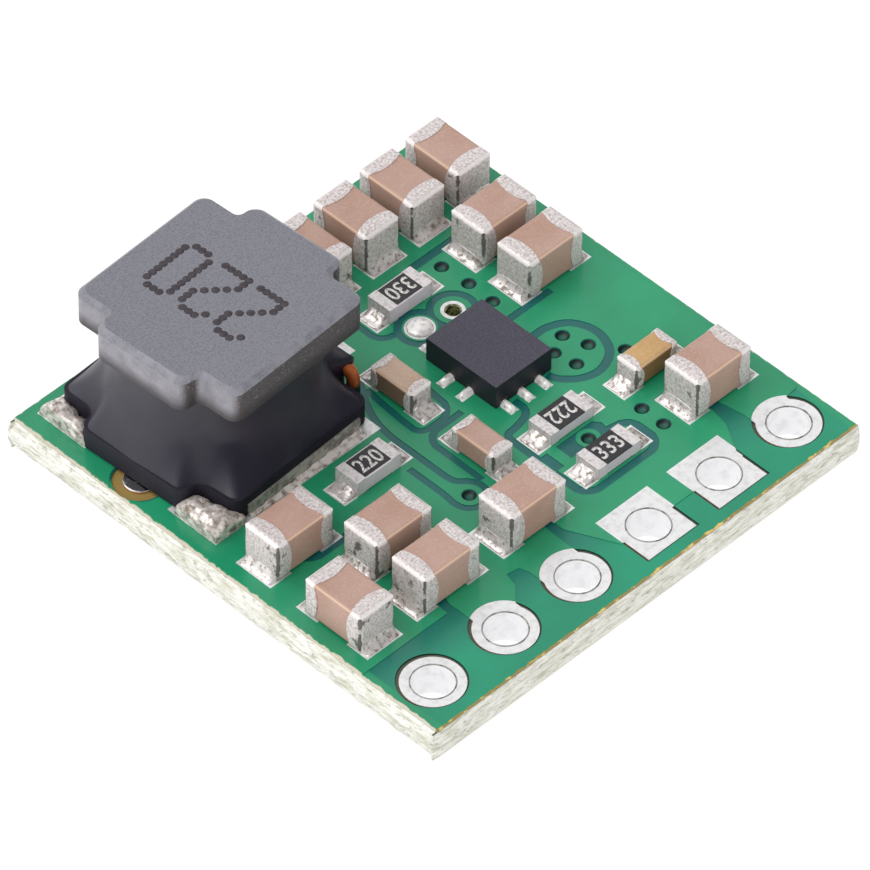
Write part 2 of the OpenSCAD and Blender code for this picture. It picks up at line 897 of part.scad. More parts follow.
module resistor_ends(i) {
    h = resistor_places[i][2];
    color("#dedbd8")
        at_resistor(i)
            for (s = [0, 180])
                rotate([0, 0, s])
                    difference() {
                        translate([res_l / 2 - res_band, -res_w / 2, 0])
                            cube([res_band, res_w, h]);
                        translate([-res_l / 2, -res_w, plate_t])
                            cube([res_l - plate_t, 2 * res_w, h - 2 * plate_t]);
                    }
}

module component_solder() {
    color("#d8d4d0") {
        for (i = [0:len(big_places) - 1])
            at_big(i)
                fillet_pair(big_l, big_w - 2 * solder_inset, big_reach - solder_inset, big_climb);
        for (i = [0:len(small_places) - 1])
            at_small(i)
                fillet_pair(small_l, small_w - 2 * solder_inset, small_reach - solder_inset, small_climb);
        for (i = [0:len(resistor_places) - 1])
            at_resistor(i)
                fillet_pair(res_l, res_w - 2 * solder_inset, res_reach - solder_inset, res_climb);
    }
}

pcb_laminate();
copper_pours();
tinned_lands();
solder_mask_top();
solder_mask_bottom();
bore_plating();
via_barrels();
inductor_core();
inductor_winding();
inductor_coat();
inductor_terminals();
inductor_wire_tails();
inductor_solder();
chip_body();
chip_leadframe();
chip_solder();
component_solder();
for (i = [0:len(big_places) - 1]) {
    large_capacitor_ceramic(i);
    large_capacitor_ends(i);
}
for (i = [0:len(small_places) - 1]) {
    small_capacitor_ceramic(i);
    small_capacitor_ends(i);
}
for (i = [0:len(resistor_places) - 1]) {
    resistor_ceramic(i);
    resistor_overcoat(i);
    resistor_ends(i);
}
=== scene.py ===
"""Looks of a small boost converter board: its finishes, solder, broken edges, printing and studio."""

import logging
import math
from collections.abc import Callable
from dataclasses import dataclass
from enum import Enum

import bmesh
import bpy
from mathutils import Matrix, Vector, noise
from mathutils.bvhtree import BVHTree


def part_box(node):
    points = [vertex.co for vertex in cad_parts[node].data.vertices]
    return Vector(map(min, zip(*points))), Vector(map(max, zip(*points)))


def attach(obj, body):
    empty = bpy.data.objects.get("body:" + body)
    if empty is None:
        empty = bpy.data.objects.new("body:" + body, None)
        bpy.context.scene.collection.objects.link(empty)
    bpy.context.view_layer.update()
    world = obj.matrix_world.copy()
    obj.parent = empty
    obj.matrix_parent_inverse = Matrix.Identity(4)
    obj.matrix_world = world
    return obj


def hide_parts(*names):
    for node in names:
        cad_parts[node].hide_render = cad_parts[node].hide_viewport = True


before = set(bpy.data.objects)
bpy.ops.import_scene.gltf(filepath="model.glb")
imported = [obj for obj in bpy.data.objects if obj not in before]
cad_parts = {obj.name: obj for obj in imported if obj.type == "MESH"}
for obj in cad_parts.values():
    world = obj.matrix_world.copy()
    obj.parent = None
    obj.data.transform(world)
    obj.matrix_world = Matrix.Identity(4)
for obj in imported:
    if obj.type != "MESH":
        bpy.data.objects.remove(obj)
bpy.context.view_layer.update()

LOG = logging.getLogger("boost_converter")
MM = 0.001
WHITE = "#FFFFFF"
MERGE = 0.0005 * MM  # corners closer than this are one corner
FACTOR, LOWER, UPPER = 0, 6, 7  # inputs of a node that mixes two colours

Socket = bpy.types.NodeSocket


def linear(colour: str) -> tuple[float, float, float, float]:
    """Turns an sRGB hex colour to linear.

    Args:
        colour: six hex digits after a hash sign.

    Returns:
        Linear red, green, blue and an alpha of one.
    """
    parts = [int(colour[i:i + 2], 16) / 255 for i in (1, 3, 5)]
    red, green, blue = (c / 12.92 if c <= 0.04045 else ((c + 0.055) / 1.055) ** 2.4 for c in parts)
    return red, green, blue, 1.0


def per_mm(size: float) -> float:
    """Gives the texture scale, in cycles per metre, of a pattern whose features are size millimetres wide."""
    return 1 / (size * MM)


class Kind(Enum):
    """Kinds of nodes: Blender's name, the output that is used (None for all of them) and the settings."""

    COORDINATES = ("ShaderNodeTexCoord", None, {})
    GEOMETRY = ("ShaderNodeNewGeometry", None, {})
    LIGHT_PATH = ("ShaderNodeLightPath", None, {})
    AXES = ("ShaderNodeSeparateXYZ", None, {})
    STRETCH = ("ShaderNodeMapping", "Vector", {})
    NOISE = ("ShaderNodeTexNoise", "Fac", {})
    RANGE = ("ShaderNodeMapRange", "Result", {})
    MIX = ("ShaderNodeMix", 2, {"data_type": "RGBA"})
    TINT = ("ShaderNodeHueSaturation", "Color", {})
    BUMP = ("ShaderNodeBump", "Normal", {})
    MINUS = ("ShaderNodeMath", "Value", {"operation": "SUBTRACT"})
    TIMES = ("ShaderNodeMath", "Value", {"operation": "MULTIPLY"})
    TIMES_PLUS = ("ShaderNodeMath", "Value", {"operation": "MULTIPLY_ADD"})
    LARGER = ("ShaderNodeMath", "Value", {"operation": "MAXIMUM"})
    UNSIGNED = ("ShaderNodeMath", "Value", {"operation": "ABSOLUTE"})
    ABOVE = ("ShaderNodeMath", "Value", {"operation": "GREATER_THAN"})
    BELOW = ("ShaderNodeMath", "Value", {"operation": "LESS_THAN"})
    DISTANCE = ("ShaderNodeVectorMath", "Value", {"operation": "DISTANCE"})
    DOT = ("ShaderNodeVectorMath", "Value", {"operation": "DOT_PRODUCT"})


@dataclass(frozen=True)
class Net:
    """The nodes of a material or of the world.

    Attributes:
        tree: the node tree.
    """

    tree: bpy.types.NodeTree

    def feed(self, node: bpy.types.Node, inputs: dict) -> None:
        """Sets or links the inputs of a node.

        Args:
            node: the node.
            inputs: a value, a hex colour or an output for each input's name or number.
        """
        for key, value in inputs.items():
            if isinstance(value, Socket):
                self.tree.links.new(value, node.inputs[key])
            else:
                node.inputs[key].default_value = linear(value) if isinstance(value, str) else value

    def add(self, kind: Kind, inputs: dict | None = None) -> Socket | bpy.types.NodeOutputs:
        """Adds a node with its settings and links.

        Args:
            kind: the kind of node.
            inputs: a value, a hex colour or an output for each input's name or number.

        Returns:
            The output that is used, or all outputs where the kind names none.
        """
        label, output, settings = kind.value
        node = self.tree.nodes.new(label)
        for key, value in settings.items():
            setattr(node, key, value)
        self.feed(node, inputs or {})
        return node.outputs if output is None else node.outputs[output]

    def blend(self, value: Socket, start: float, end: float, lower: str | Socket, upper: str | Socket,
              most: float | Socket = 1.0) -> Socket:
        """Lays one colour over another where a value runs from start to end.

        Args:
            value: what decides where.
            start: the value at which the upper colour begins to show.
            end: the value at which it covers most.
            lower: the colour below.
            upper: the colour on top.
            most: how far the upper colour covers in the end, from 0 to 1.

        Returns:
            The blended colour.
        """
        share = self.add(Kind.RANGE, {"Value": value, "From Min": start, "From Max": end, "To Max": most})
        return self.add(Kind.MIX, {FACTOR: share, LOWER: lower, UPPER: upper})

    def facing(self) -> bpy.types.NodeOutputs:
        """Gives the X, Y and Z of the direction that the surface faces in."""
        return self.add(Kind.AXES, {"Vector": self.add(Kind.GEOMETRY)["True Normal"]})


@dataclass(frozen=True)
class Finish:
    """A surface finish that makes one material.

    Attributes:
        name: the material's name.
    """

    name: str

    def material(self) -> bpy.types.Material:
        """Makes the material, or gives the one that was made before.

        Returns:
            The material of this finish.
        """
        found = bpy.data.materials.get(self.name)
        if found:
            return found
        made = bpy.data.materials.new(self.name)
        made.use_nodes = True
        net = Net(made.node_tree)
        place = net.add(Kind.COORDINATES)["Object"]
        net.feed(made.node_tree.nodes["Principled BSDF"], self.shade(net, place))
        return made

    def shade(self, net: Net, place: Socket) -> dict:
        """Adds the finish's own nodes; each kind of finish has its own.

        Args:
            net: the material's nodes.
            place: object coordinates.

        Returns:
            What the shader is fed.
        """
        raise NotImplementedError


@dataclass(frozen=True)
class SolderMask(Finish):
    """Photo-imaged epoxy lacquer: a clear green gloss, yellower over copper and bluer over bare board.

    Attributes:
        over_copper: colour where copper lies under the lacquer.
        over_glass: colour where only the laminate does.
        thin: greener colour of the lacquer over bare laminate towards the front edge.
        deep: colour of the walls of the pits over the vias, darkened as painted shade.
        pool: colour of the lacquer that lies in the pits.
        rim: colour of the thin torn film along the front edge.
        fleck: colour of the flakes in that film.
        burr: colour of the torn glass that bites into the lacquer along the other edges.
        glass_level: height of the lacquer over bare laminate.
        copper_level: height of the lacquer over copper.
        rim_y: where the torn film begins.
        greener_from_y: where the lacquer over bare laminate begins to turn greener.
        greening_way: way over which it turns greener.
        left_x: where the lacquer ends on the left.
        right_x: where it ends on the right.
        back_y: where it ends at the back.
        fray: how deep the torn edges reach into the lacquer.
    """

    over_copper: str = "#208E64"
    over_glass: str = "#0D5E5B"
    thin: str = "#0E8866"
    deep: str = "#03201D"
    pool: str = "#145A4A"
    rim: str = "#8E7B38"
    fleck: str = "#DDBE68"
    burr: str = "#CFC9B6"
    glass_level: float = 0.982 * MM
    copper_level: float = 1.0 * MM
    rim_y: float = -7.545 * MM
    greener_from_y: float = -4.5 * MM
    greening_way: float = 1.7 * MM
    left_x: float = -7.45 * MM
    right_x: float = 7.59 * MM
    back_y: float = 7.61 * MM
    fray: float = 0.16 * MM

    def shade(self, net: Net, place: Socket) -> dict:
        """Adds the lacquer's nodes.

        Args:
            net: the material's nodes.
            place: object coordinates.

        Returns:
            What the shader is fed.
        """
        axes = net.add(Kind.AXES, {"Vector": place})
        raised = net.add(Kind.RANGE, {"Value": axes["Z"], "From Min": self.glass_level + 0.003 * MM,
                                      "From Max": self.copper_level - 0.003 * MM})
        sunk = net.add(Kind.RANGE, {"Value": axes["Z"], "From Min": self.glass_level - 0.004 * MM,
                                    "From Max": self.glass_level - 0.02 * MM})
        # slow drifts in the lacquer's thickness, about two millimetres wide
        clouds = net.add(Kind.NOISE, {"Vector": place, "Scale": per_mm(2.2), "Detail": 3.0})
        drift = net.add(Kind.RANGE, {"Value": clouds, "From Min": 0.3, "From Max": 0.7,
                                     "To Min": 0.86, "To Max": 1.12})
        # the lacquer over bare laminate turns greener towards the front edge
        bare = net.blend(axes["Y"], self.greener_from_y, self.greener_from_y - self.greening_way, self.over_glass, self.thin)
        left = net.add(Kind.MINUS, {0: self.left_x, 1: axes["X"]})
        right = net.add(Kind.MINUS, {0: axes["X"], 1: self.right_x})
        back = net.add(Kind.MINUS, {0: axes["Y"], 1: self.back_y})
        sides = net.add(Kind.LARGER, {0: left, 1: right})
        outer = net.add(Kind.LARGER, {0: sides, 1: back})
        # along the outer edges the lacquer is thick, and as green as over copper
        margin = net.add(Kind.RANGE, {"Value": outer, "From Min": -0.26 * MM, "From Max": -0.2 * MM})
        full = net.add(Kind.LARGER, {0: raised, 1: margin})
        flat = net.add(Kind.MIX, {FACTOR: full, LOWER: bare, UPPER: self.over_copper})
        # the walls of the pits over the vias are painted dark: painted shade
        pit = net.blend(axes["Z"], self.glass_level - 0.06 * MM, self.glass_level - 0.09 * MM,
                        self.deep, self.pool)
        pitted = net.add(Kind.MIX, {FACTOR: sunk, LOWER: flat, UPPER: pit})
        shaded = net.add(Kind.TINT, {"Value": drift, "Color": pitted})
        ragged = net.add(Kind.NOISE, {"Vector": place, "Scale": per_mm(0.25), "Detail": 4.0})
        torn = net.add(Kind.TIMES_PLUS, {0: ragged, 1: self.fray, 2: axes["Y"]})
        flakes = net.add(Kind.NOISE, {"Vector": place, "Scale": per_mm(0.3), "Detail": 5.0})
        amber = net.blend(flakes, 0.54, 0.62, self.rim, self.fleck)
        bitten = net.add(Kind.TIMES_PLUS, {0: ragged, 1: self.fray, 2: outer})
        frayed = net.blend(bitten, 0.03 * MM, 0.05 * MM, shaded, self.burr)
        colour = net.blend(torn, self.rim_y + 0.09 * MM, self.rim_y + 0.065 * MM, frayed, amber)
        # a soft orange peel, drawn at a quarter of a millimetre so that it shows
        peel = net.add(Kind.BUMP, {"Height": ragged, "Strength": 0.18, "Distance": 0.02 * MM})
        gloss = net.add(Kind.RANGE, {"Value": clouds, "To Min": 0.18, "To Max": 0.34})
        dulled = net.add(Kind.TIMES_PLUS, {0: sunk, 1: 0.25, 2: gloss})
        return {"Base Color": colour, "Roughness": dulled, "Normal": peel, "IOR": 1.52}


@dataclass(frozen=True)
class GlassEpoxy(Finish):
    """Woven glass and epoxy, scored and snapped: pale straw with white fibre ends in layers.

    Attributes:
        fibre: colour of broken glass.
        resin: colour of the epoxy between the layers.
        hollow: colour of the hollows where fibres tore out.
        face: colour of the flat face in the shade of the mask's openings.
        mark: colour of the flat face that lies open round the registration mark.
        layer: thickness of one layer of cloth, in millimetres.
        strand: length of the streaks along an edge, in millimetres.
        splinter: length and height of a torn-out fibre, in millimetres, drawn large so that it shows.
        face_level: height above which the flat face begins.
        mark_at: middle of the registration mark.
        mark_r: radius of the open laminate round it.
    """

    fibre: str = "#E8E7E0"
    resin: str = "#C2C1AE"
    hollow: str = "#9C9C90"
    face: str = "#55584A"
    mark: str = "#93783C"
    layer: float = 0.09
    strand: float = 0.6
    splinter: tuple[float, float] = (0.25, 0.07)
    face_level: float = 0.9285 * MM
    mark_at: tuple[float, float, float] = (-6.7 * MM, 3.75 * MM, 0.93 * MM)
    mark_r: float = 0.85 * MM

    def shade(self, net: Net, place: Socket) -> dict:
        """Adds the laminate's nodes.

        Args:
            net: the material's nodes.
            place: object coordinates.

        Returns:
            What the shader is fed.
        """
        patterns = []
        for (along, up), detail in (((self.strand, self.layer), 5.0), (self.splinter, 4.0)):
            scale = (per_mm(along), per_mm(along), per_mm(up))
            drawn = net.add(Kind.STRETCH, {"Vector": place, "Scale": scale})
            patterns.append(net.add(Kind.NOISE, {"Vector": drawn, "Scale": 1.0, "Detail": detail,
                                                 "Roughness": 0.65}))
        streaks, ends = patterns
        edge = net.blend(streaks, 0.36, 0.56, self.resin, self.fibre)
        flecked = net.blend(ends, 0.54, 0.66, edge, self.hollow, 0.75)
        height = net.add(Kind.AXES, {"Vector": place})["Z"]
        top = net.add(Kind.ABOVE, {0: height, 1: self.face_level})
        away = net.add(Kind.DISTANCE, {0: place, 1: self.mark_at})
        near = net.add(Kind.BELOW, {0: away, 1: self.mark_r})
        face = net.add(Kind.MIX, {FACTOR: near, LOWER: self.face, UPPER: self.mark})
        colour = net.add(Kind.MIX, {FACTOR: top, LOWER: flecked, UPPER: face})
        rough = net.add(Kind.BUMP, {"Height": streaks, "Strength": 0.5, "Distance": 0.05 * MM})
        return {"Base Color": colour, "Roughness": 0.72, "Normal": rough, "IOR": 1.55}


@dataclass(frozen=True)
class SoftMetal(Finish):
    """Tin and solder: bright metal that froze in small lumps, with grey oxide and flux in its hollows.

    Attributes:
        bright: colour of clean metal.
        stain: colour of oxide and flux.
        roughness: roughness of clean metal.
        lump: size of the frozen lumps, in millimetres.
        depth: height of the lumps, in millimetres.
        spot: size of the stains, in millimetres.
        stained: share of the surface that is stained, from 0 to 1.
        metallic: how far the surface mirrors as clean metal does.
        soft: how softly the stains run out.
        scuff: size of the scuffs, in millimetres.
        smudge: colour of scuffs on upright faces and along upright edges.
        smudged: strength of the scuffs.
        painted_edge_highlight: colour painted along the rounded upper edges, a painted highlight.
        edge_highlight_share: how far that painted highlight covers those edges, from 0 to 1.
    """

    bright: str
    stain: str
    roughness: float
    lump: float
    depth: float
    spot: float
    stained: float
    metallic: float = 1.0
    soft: float = 0.05
    scuff: float = 0.42
    smudge: str = "#4A4540"
    smudged: float = 0.0
    painted_edge_highlight: str = "#F6F2F0"
    edge_highlight_share: float = 0.0

    def shade(self, net: Net, place: Socket) -> dict:
        """Adds the metal's nodes.

        Args:
            net: the material's nodes.
            place: object coordinates.

        Returns:
            What the shader is fed.
        """
        spots = net.add(Kind.NOISE, {"Vector": place, "Scale": per_mm(self.spot), "Detail": 4.0,
                                     "Roughness": 0.6})
        edge = 0.34 + 0.3 * self.stained
        stain = net.add(Kind.RANGE, {"Value": spots, "From Min": edge + self.soft,
                                     "From Max": edge - self.soft})
        clean = net.add(Kind.MIX, {FACTOR: stain, LOWER: self.bright, UPPER: self.stain})
        scuffs = net.add(Kind.NOISE, {"Vector": place, "Scale": per_mm(self.scuff), "Detail": 5.0,
                                      "Roughness": 0.6})
        lie = net.facing()
        slant = net.add(Kind.TIMES, {0: lie["X"], 1: lie["Y"]})
        corner = net.add(Kind.UNSIGNED, {0: slant})
        # scuffs gather on the upright edges, where the least of the noise is enough
        need = net.add(Kind.RANGE, {"Value": corner, "From Min": 0.36, "From Max": 0.45,
                                    "To Min": 0.61, "To Max": 0.4})
        above = net.add(Kind.MINUS, {0: scuffs, 1: need})
        scuffed = net.add(Kind.RANGE, {"Value": above, "From Max": 0.06, "To Max": self.smudged})
        # the rounded upper edges are painted lighter: a painted highlight
        rising = net.add(Kind.RANGE, {"Value": lie["Z"], "From Min": 0.93, "From Max": 0.85,
                                      "To Max": self.edge_highlight_share})
        edge_highlighted = net.blend(lie["Z"], 0.3, 0.45, clean, self.painted_edge_highlight, rising)
        colour = net.blend(lie["Z"], 0.45, 0.15, edge_highlighted, self.smudge, scuffed)
        gloss = net.add(Kind.RANGE, {"Value": stain, "To Min": self.roughness,
                                     "To Max": self.roughness + 0.25})
        lumps = net.add(Kind.NOISE, {"Vector": place, "Scale": per_mm(self.lump), "Detail": 2.0,
                                     "Distortion": 0.4})
        frozen = net.add(Kind.BUMP, {"Height": lumps, "Strength": 0.6, "Distance": self.depth * MM})
        return {"Base Color": colour, "Roughness": gloss, "Metallic": self.metallic, "Normal": frozen}


@dataclass(frozen=True)
class FiredCeramic(Finish):
    """Fired ceramic: matte, with a fine grain and slow drifts of colour from the kiln.

    Attributes:
        body: main colour.
        dark: colour of the darker drifts.
        pale: colour of the grain.
        edge_wear_and_highlight: colour of the rounded upper edges, a painted highlight.
        painted_side_shade: darker colour painted on the upright sides, painted shade.
        side_shade_share: how far the sides take that painted shade, from 0 to 1.
        drift: size of the drifts, in millimetres.
        grain: size of the grain, in millimetres, drawn coarse so that it shows.
        roughness: roughness of the surface.
    """

    body: str
    dark: str
    pale: str
    edge_wear_and_highlight: str = "#DDBB9C"
    painted_side_shade: str = "#5A4027"
    side_shade_share: float = 0.0
    drift: float = 1.3
    grain: float = 0.045
    roughness: float = 0.5

    def shade(self, net: Net, place: Socket) -> dict:
        """Adds the ceramic's nodes.

        Args:
            net: the material's nodes.
            place: object coordinates.

        Returns:
            What the shader is fed.
        """
        drifts = net.add(Kind.NOISE, {"Vector": place, "Scale": per_mm(self.drift), "Detail": 2.0})
        grains = net.add(Kind.NOISE, {"Vector": place, "Scale": per_mm(self.grain), "Detail": 2.0})
        fired = net.blend(drifts, 0.62, 0.35, self.body, self.dark, 0.8)
        grained = net.blend(grains, 0.5, 0.72, fired, self.pale, 0.55)
        lie = net.facing()["Z"]
        # the rounded upper edges are painted paler: a painted highlight
        rising = net.add(Kind.RANGE, {"Value": lie, "From Min": 0.88, "From Max": 0.78, "To Max": 0.75})
        # the upright sides are painted darker: painted shade
        side_shaded = net.blend(lie, 0.42, 0.15, grained, self.painted_side_shade, self.side_shade_share)
        colour = net.blend(lie, 0.42, 0.52, side_shaded, self.edge_wear_and_highlight, rising)
        grit = net.add(Kind.BUMP, {"Height": grains, "Strength": 0.25, "Distance": 0.01 * MM})
        return {"Base Color": colour, "Roughness": self.roughness, "Normal": grit}


@dataclass(frozen=True)
class Ferrite(Finish):
    """Fired ferrite: a ground grey top with a paler rim, dark fired sides and a resin-soaked lower flange.

    Attributes:
        ground: colour of the ground top face.
        pit: colour of its open grains.
        rim: colour of the rubbed bevel.
        fired: colour of the fired sides.
        painted_left_light: colour painted on the side that faces left as painted light, in patches.
        sparkle: colour of the bright grains on the fired sides.
        burnt: colour of the fired sides close to the resin.
        soaked: colour of the lower flange.
        flange_level: height between the two flanges.
        burnt_from: height above which the fired sides are clean.
        burnt_to: height below which they are burnt.
        grain: size of the grains, in millimetres, drawn coarse so that they show.
        patch: size of the rubbed and of the painted-light patches, in millimetres.
    """

    ground: str = "#7B7B84"
    pit: str = "#696871"
    rim: str = "#85848C"
    fired: str = "#4C4549"
    painted_left_light: str = "#8E8C94"
    sparkle: str = "#A8A2A0"
    burnt: str = "#352E33"
    soaked: str = "#141022"
    flange_level: float = 3.0 * MM
    burnt_from: float = 4.76 * MM
    burnt_to: float = 4.39 * MM
    grain: float = 0.05
    patch: float = 0.35

    def shade(self, net: Net, place: Socket) -> dict:
        """Adds the ferrite's nodes.

        Args:
            net: the material's nodes.
            place: object coordinates.

        Returns:
            What the shader is fed.
        """
        height = net.add(Kind.AXES, {"Vector": place})["Z"]
        turned = net.facing()
        grains = net.add(Kind.NOISE, {"Vector": place, "Scale": per_mm(self.grain), "Detail": 3.0})
        stone = net.blend(grains, 0.54, 0.36, self.ground, self.pit)
        wear_and_light_patches = net.add(Kind.NOISE, {"Vector": place, "Scale": per_mm(self.patch), "Detail": 4.0})
        thick = net.add(Kind.RANGE, {"Value": wear_and_light_patches, "From Min": 0.3, "From Max": 0.6, "To Min": 0.65})
        # the side that faces left is painted lighter, in patches: painted light
        plain = net.blend(turned["X"], -0.35, -0.85, self.fired, self.painted_left_light, thick)
        grained = net.blend(grains, 0.56, 0.74, plain, self.sparkle, 0.6)
        side = net.blend(height, self.burnt_from, self.burnt_to, grained, self.burnt, 0.95)
        edge_wear_and_highlight = net.blend(wear_and_light_patches, 0.4, 0.6, stone, self.rim)
        edge = net.blend(turned["Z"], 0.3, 0.5, side, edge_wear_and_highlight)
        flat = net.add(Kind.RANGE, {"Value": turned["Z"], "From Min": 0.85, "From Max": 0.97})
        upper = net.add(Kind.MIX, {FACTOR: flat, LOWER: edge, UPPER: stone})
        raised = net.add(Kind.ABOVE, {0: height, 1: self.flange_level})
        colour = net.add(Kind.MIX, {FACTOR: raised, LOWER: self.soaked, UPPER: upper})
        grit = net.add(Kind.BUMP, {"Height": grains, "Strength": 0.4, "Distance": 0.015 * MM})
        gloss = net.add(Kind.RANGE, {"Value": flat, "To Min": 0.42, "To Max": 0.56})
        matte = net.add(Kind.RANGE, {"Value": raised, "To Min": 0.75, "To Max": gloss})
        return {"Base Color": colour, "Roughness": matte, "IOR": 1.55, "Normal": grit}


@dataclass(frozen=True)
class DarkResin(Finish):
    """Filled epoxy, cast or moulded: nearly black with a violet cast, a soft sheen and a fine grain.

    Attributes:
        body: main colour.
        pale: colour of the filler that shows in the grain.
        side: colour of upright faces, which keep the mould's skin.
        grain: size of the grain, in millimetres, drawn coarse so that it shows.
        flow: size of the duller and glossier patches, in millimetres.
        roughness: roughness of the surface.
        shine: strength of the mirrored light.
    """

    body: str
    pale: str
    side: str
    grain: float = 0.05
    flow: float = 1.1
    roughness: float = 0.42
    shine: float = 0.5

    def shade(self, net: Net, place: Socket) -> dict:
        """Adds the resin's nodes.

        Args:
            net: the material's nodes.
            place: object coordinates.

        Returns:
            What the shader is fed.
        """
        grains = net.add(Kind.NOISE, {"Vector": place, "Scale": per_mm(self.grain), "Detail": 3.0})
        filled = net.blend(grains, 0.45, 0.75, self.body, self.pale)
        colour = net.blend(net.facing()["Z"], 0.3, 0.75, self.side, filled)
        flow = net.add(Kind.NOISE, {"Vector": place, "Scale": per_mm(self.flow), "Detail": 2.0})
        gloss = net.add(Kind.RANGE, {"Value": flow, "From Min": 0.3, "From Max": 0.7,
                                     "To Min": self.roughness - 0.06, "To Max": self.roughness + 0.08})
        grit = net.add(Kind.BUMP, {"Height": grains, "Strength": 0.25, "Distance": 0.01 * MM})
        return {"Base Color": colour, "Roughness": gloss, "Specular IOR Level": self.shine, "Normal": grit}


@dataclass(frozen=True)
class EnamelledCopper(Finish):
    """Drawn copper under clear enamel: a warm orange mirror with faint darker heat marks.

    Attributes:
        copper: colour of the metal.
        burnt: colour of the heat marks.
        painted_low_shade: dark colour painted over the lower part of the wire, painted shade.
        shade_level: height below which that painted shade covers the metal.
        shade_edge: height over which it fades out, above and below that level.
        heat: size of the heat marks, in millimetres.
        coat: weight of the clear enamel.
    """

    copper: str = "#E0793C"
    burnt: str = "#A9552B"
    painted_low_shade: str = "#1D1922"
    shade_level: float = 1.5 * MM
    shade_edge: float = 0.1 * MM
    heat: float = 0.5
    coat: float = 0.6

    def shade(self, net: Net, place: Socket) -> dict:
        """Adds the copper's nodes.

        Args:
            net: the material's nodes.
            place: object coordinates.

        Returns:
            What the shader is fed.
        """
        heat = net.add(Kind.NOISE, {"Vector": place, "Scale": per_mm(self.heat), "Detail": 3.0})
        drawn = net.blend(heat, 0.55, 0.4, self.copper, self.burnt, 0.8)
        height = net.add(Kind.AXES, {"Vector": place})["Z"]
        # the lower part of the wire is painted dark: painted shade
        colour = net.blend(height, self.shade_level + self.shade_edge, self.shade_level - self.shade_edge,
                           drawn, self.painted_low_shade)
        draw = net.add(Kind.BUMP, {"Height": heat, "Strength": 0.2, "Distance": 0.01 * MM})
        return {"Base Color": colour, "Metallic": 0.5, "Roughness": 0.34, "Coat Weight": self.coat,
                "Normal": draw}


@dataclass(frozen=True)
class PrintedInk(Finish):
    """Screened ink: matte, thin and a little broken where it sank into the surface.

    Attributes:
        ink: colour of full ink.
        thin: colour where the ground shows through.
        gap: size of the broken places, in millimetres.
    """

    ink: str
    thin: str
    gap: float = 0.06

    def shade(self, net: Net, place: Socket) -> dict:
        """Adds the ink's nodes.

        Args:
            net: the material's nodes.
            place: object coordinates.

        Returns:
            What the shader is fed.
        """
        broken = net.add(Kind.NOISE, {"Vector": place, "Scale": per_mm(self.gap), "Detail": 3.0})
        return {"Base Color": net.blend(broken, 0.58, 0.36, self.ink, self.thin), "Roughness": 0.7}


@dataclass(frozen=True)
class StudioPaper(Finish):
    """White paper on a light table: it takes the object's shadow and brightens the board's edges from below.

    Seen from underneath it is clear, so that the board's lower face shows.

    Attributes:
        paper: colour of the paper under the lights.
        glow: light that comes up through the paper.
        fibre: size of the paper's fibres, in millimetres.
    """

    paper: str = "#8C8C8C"
    glow: float = 0.8
    fibre: float = 0.8

    def shade(self, net: Net, place: Socket) -> dict:
        """Adds the paper's nodes.

        Args:
            net: the material's nodes.
            place: object coordinates.

        Returns:
            What the shader is fed.
        """
        fibres = net.add(Kind.NOISE, {"Vector": place, "Scale": per_mm(self.fibre), "Detail": 3.0})
        lay = net.add(Kind.BUMP, {"Height": fibres, "Strength": 0.05, "Distance": 0.02 * MM})
        above = net.add(Kind.MINUS, {0: 1.0, 1: net.add(Kind.GEOMETRY)["Backfacing"]})
        return {"Base Color": self.paper, "Roughness": 1.0, "Specular IOR Level": 0.0, "Alpha": above,
                "Normal": lay, "Emission Color": WHITE, "Emission Strength": self.glow}


# clear green gloss that shows the copper below, with an amber torn film along the front edge
LACQUER = SolderMask("green_solder_mask")
# the same gloss in one even green
LACQUER_UNDER = SolderMask("green_solder_mask_underside", rim="#CFC9B6", fleck="#DAD5C4",
                           glass_level=-0.5 * MM, copper_level=-0.1 * MM)
# pale, layered edges with torn white fibres
LAMINATE = GlassEpoxy("glass_epoxy_laminate")
# flat, nearly white lands
TIN = SoftMetal("levelled_tin", bright="#F3F3F4", stain="#E6E5E6", roughness=0.42, lump=0.5, depth=0.01,
                spot=0.2, stained=0.35, metallic=0.6, soft=0.1)
# a grey line round each hole: painted shade along the rim
LIP = SoftMetal("hole_lip_painted_shade", bright="#A5A29E", stain="#6E6A66", roughness=0.5, lump=0.1, depth=0.01,
                spot=0.2, stained=0.4, metallic=0.5)
# dull yellow-green metal in the depth of the vias
VIA_WALL = SoftMetal("tarnished_via_wall", bright="#A9A978", stain="#3E4A2E", roughness=0.5, lump=0.1,
                     depth=0.01, spot=0.1, stained=0.5, metallic=0.4)
# silvery fillets with small grey-brown flux stains
SOLDER = SoftMetal("reflowed_solder", bright="#E8E1DF", stain="#8A7F72", roughness=0.26, lump=0.16,
                   depth=0.03, spot=0.12, stained=0.3, metallic=0.45, soft=0.09)
# smooth white drops
CLEAN_SOLDER = SoftMetal("bright_solder_drop", bright="#FCF9F7", stain="#AFA59E", roughness=0.22, lump=0.2,
                         depth=0.03, spot=0.14, stained=0.2, metallic=0.2, soft=0.08)
# rough, pale heaps with brown hollows
HEAP_SOLDER = SoftMetal("grainy_heaped_solder", bright="#E9E0DB", stain="#8A7C6F", roughness=0.3, lump=0.16,
                        depth=0.04, spot=0.2, stained=0.36, metallic=0.35, soft=0.1)
# dull, scuffed silver with a painted highlight along its upper edges
END_TIN = SoftMetal("plated_end_tin", bright="#E4DCDB", stain="#B0A6A3", roughness=0.5, lump=0.07,
                    depth=0.012, spot=0.07, stained=0.4, metallic=0.25, soft=0.14, smudged=0.85, edge_highlight_share=0.7)
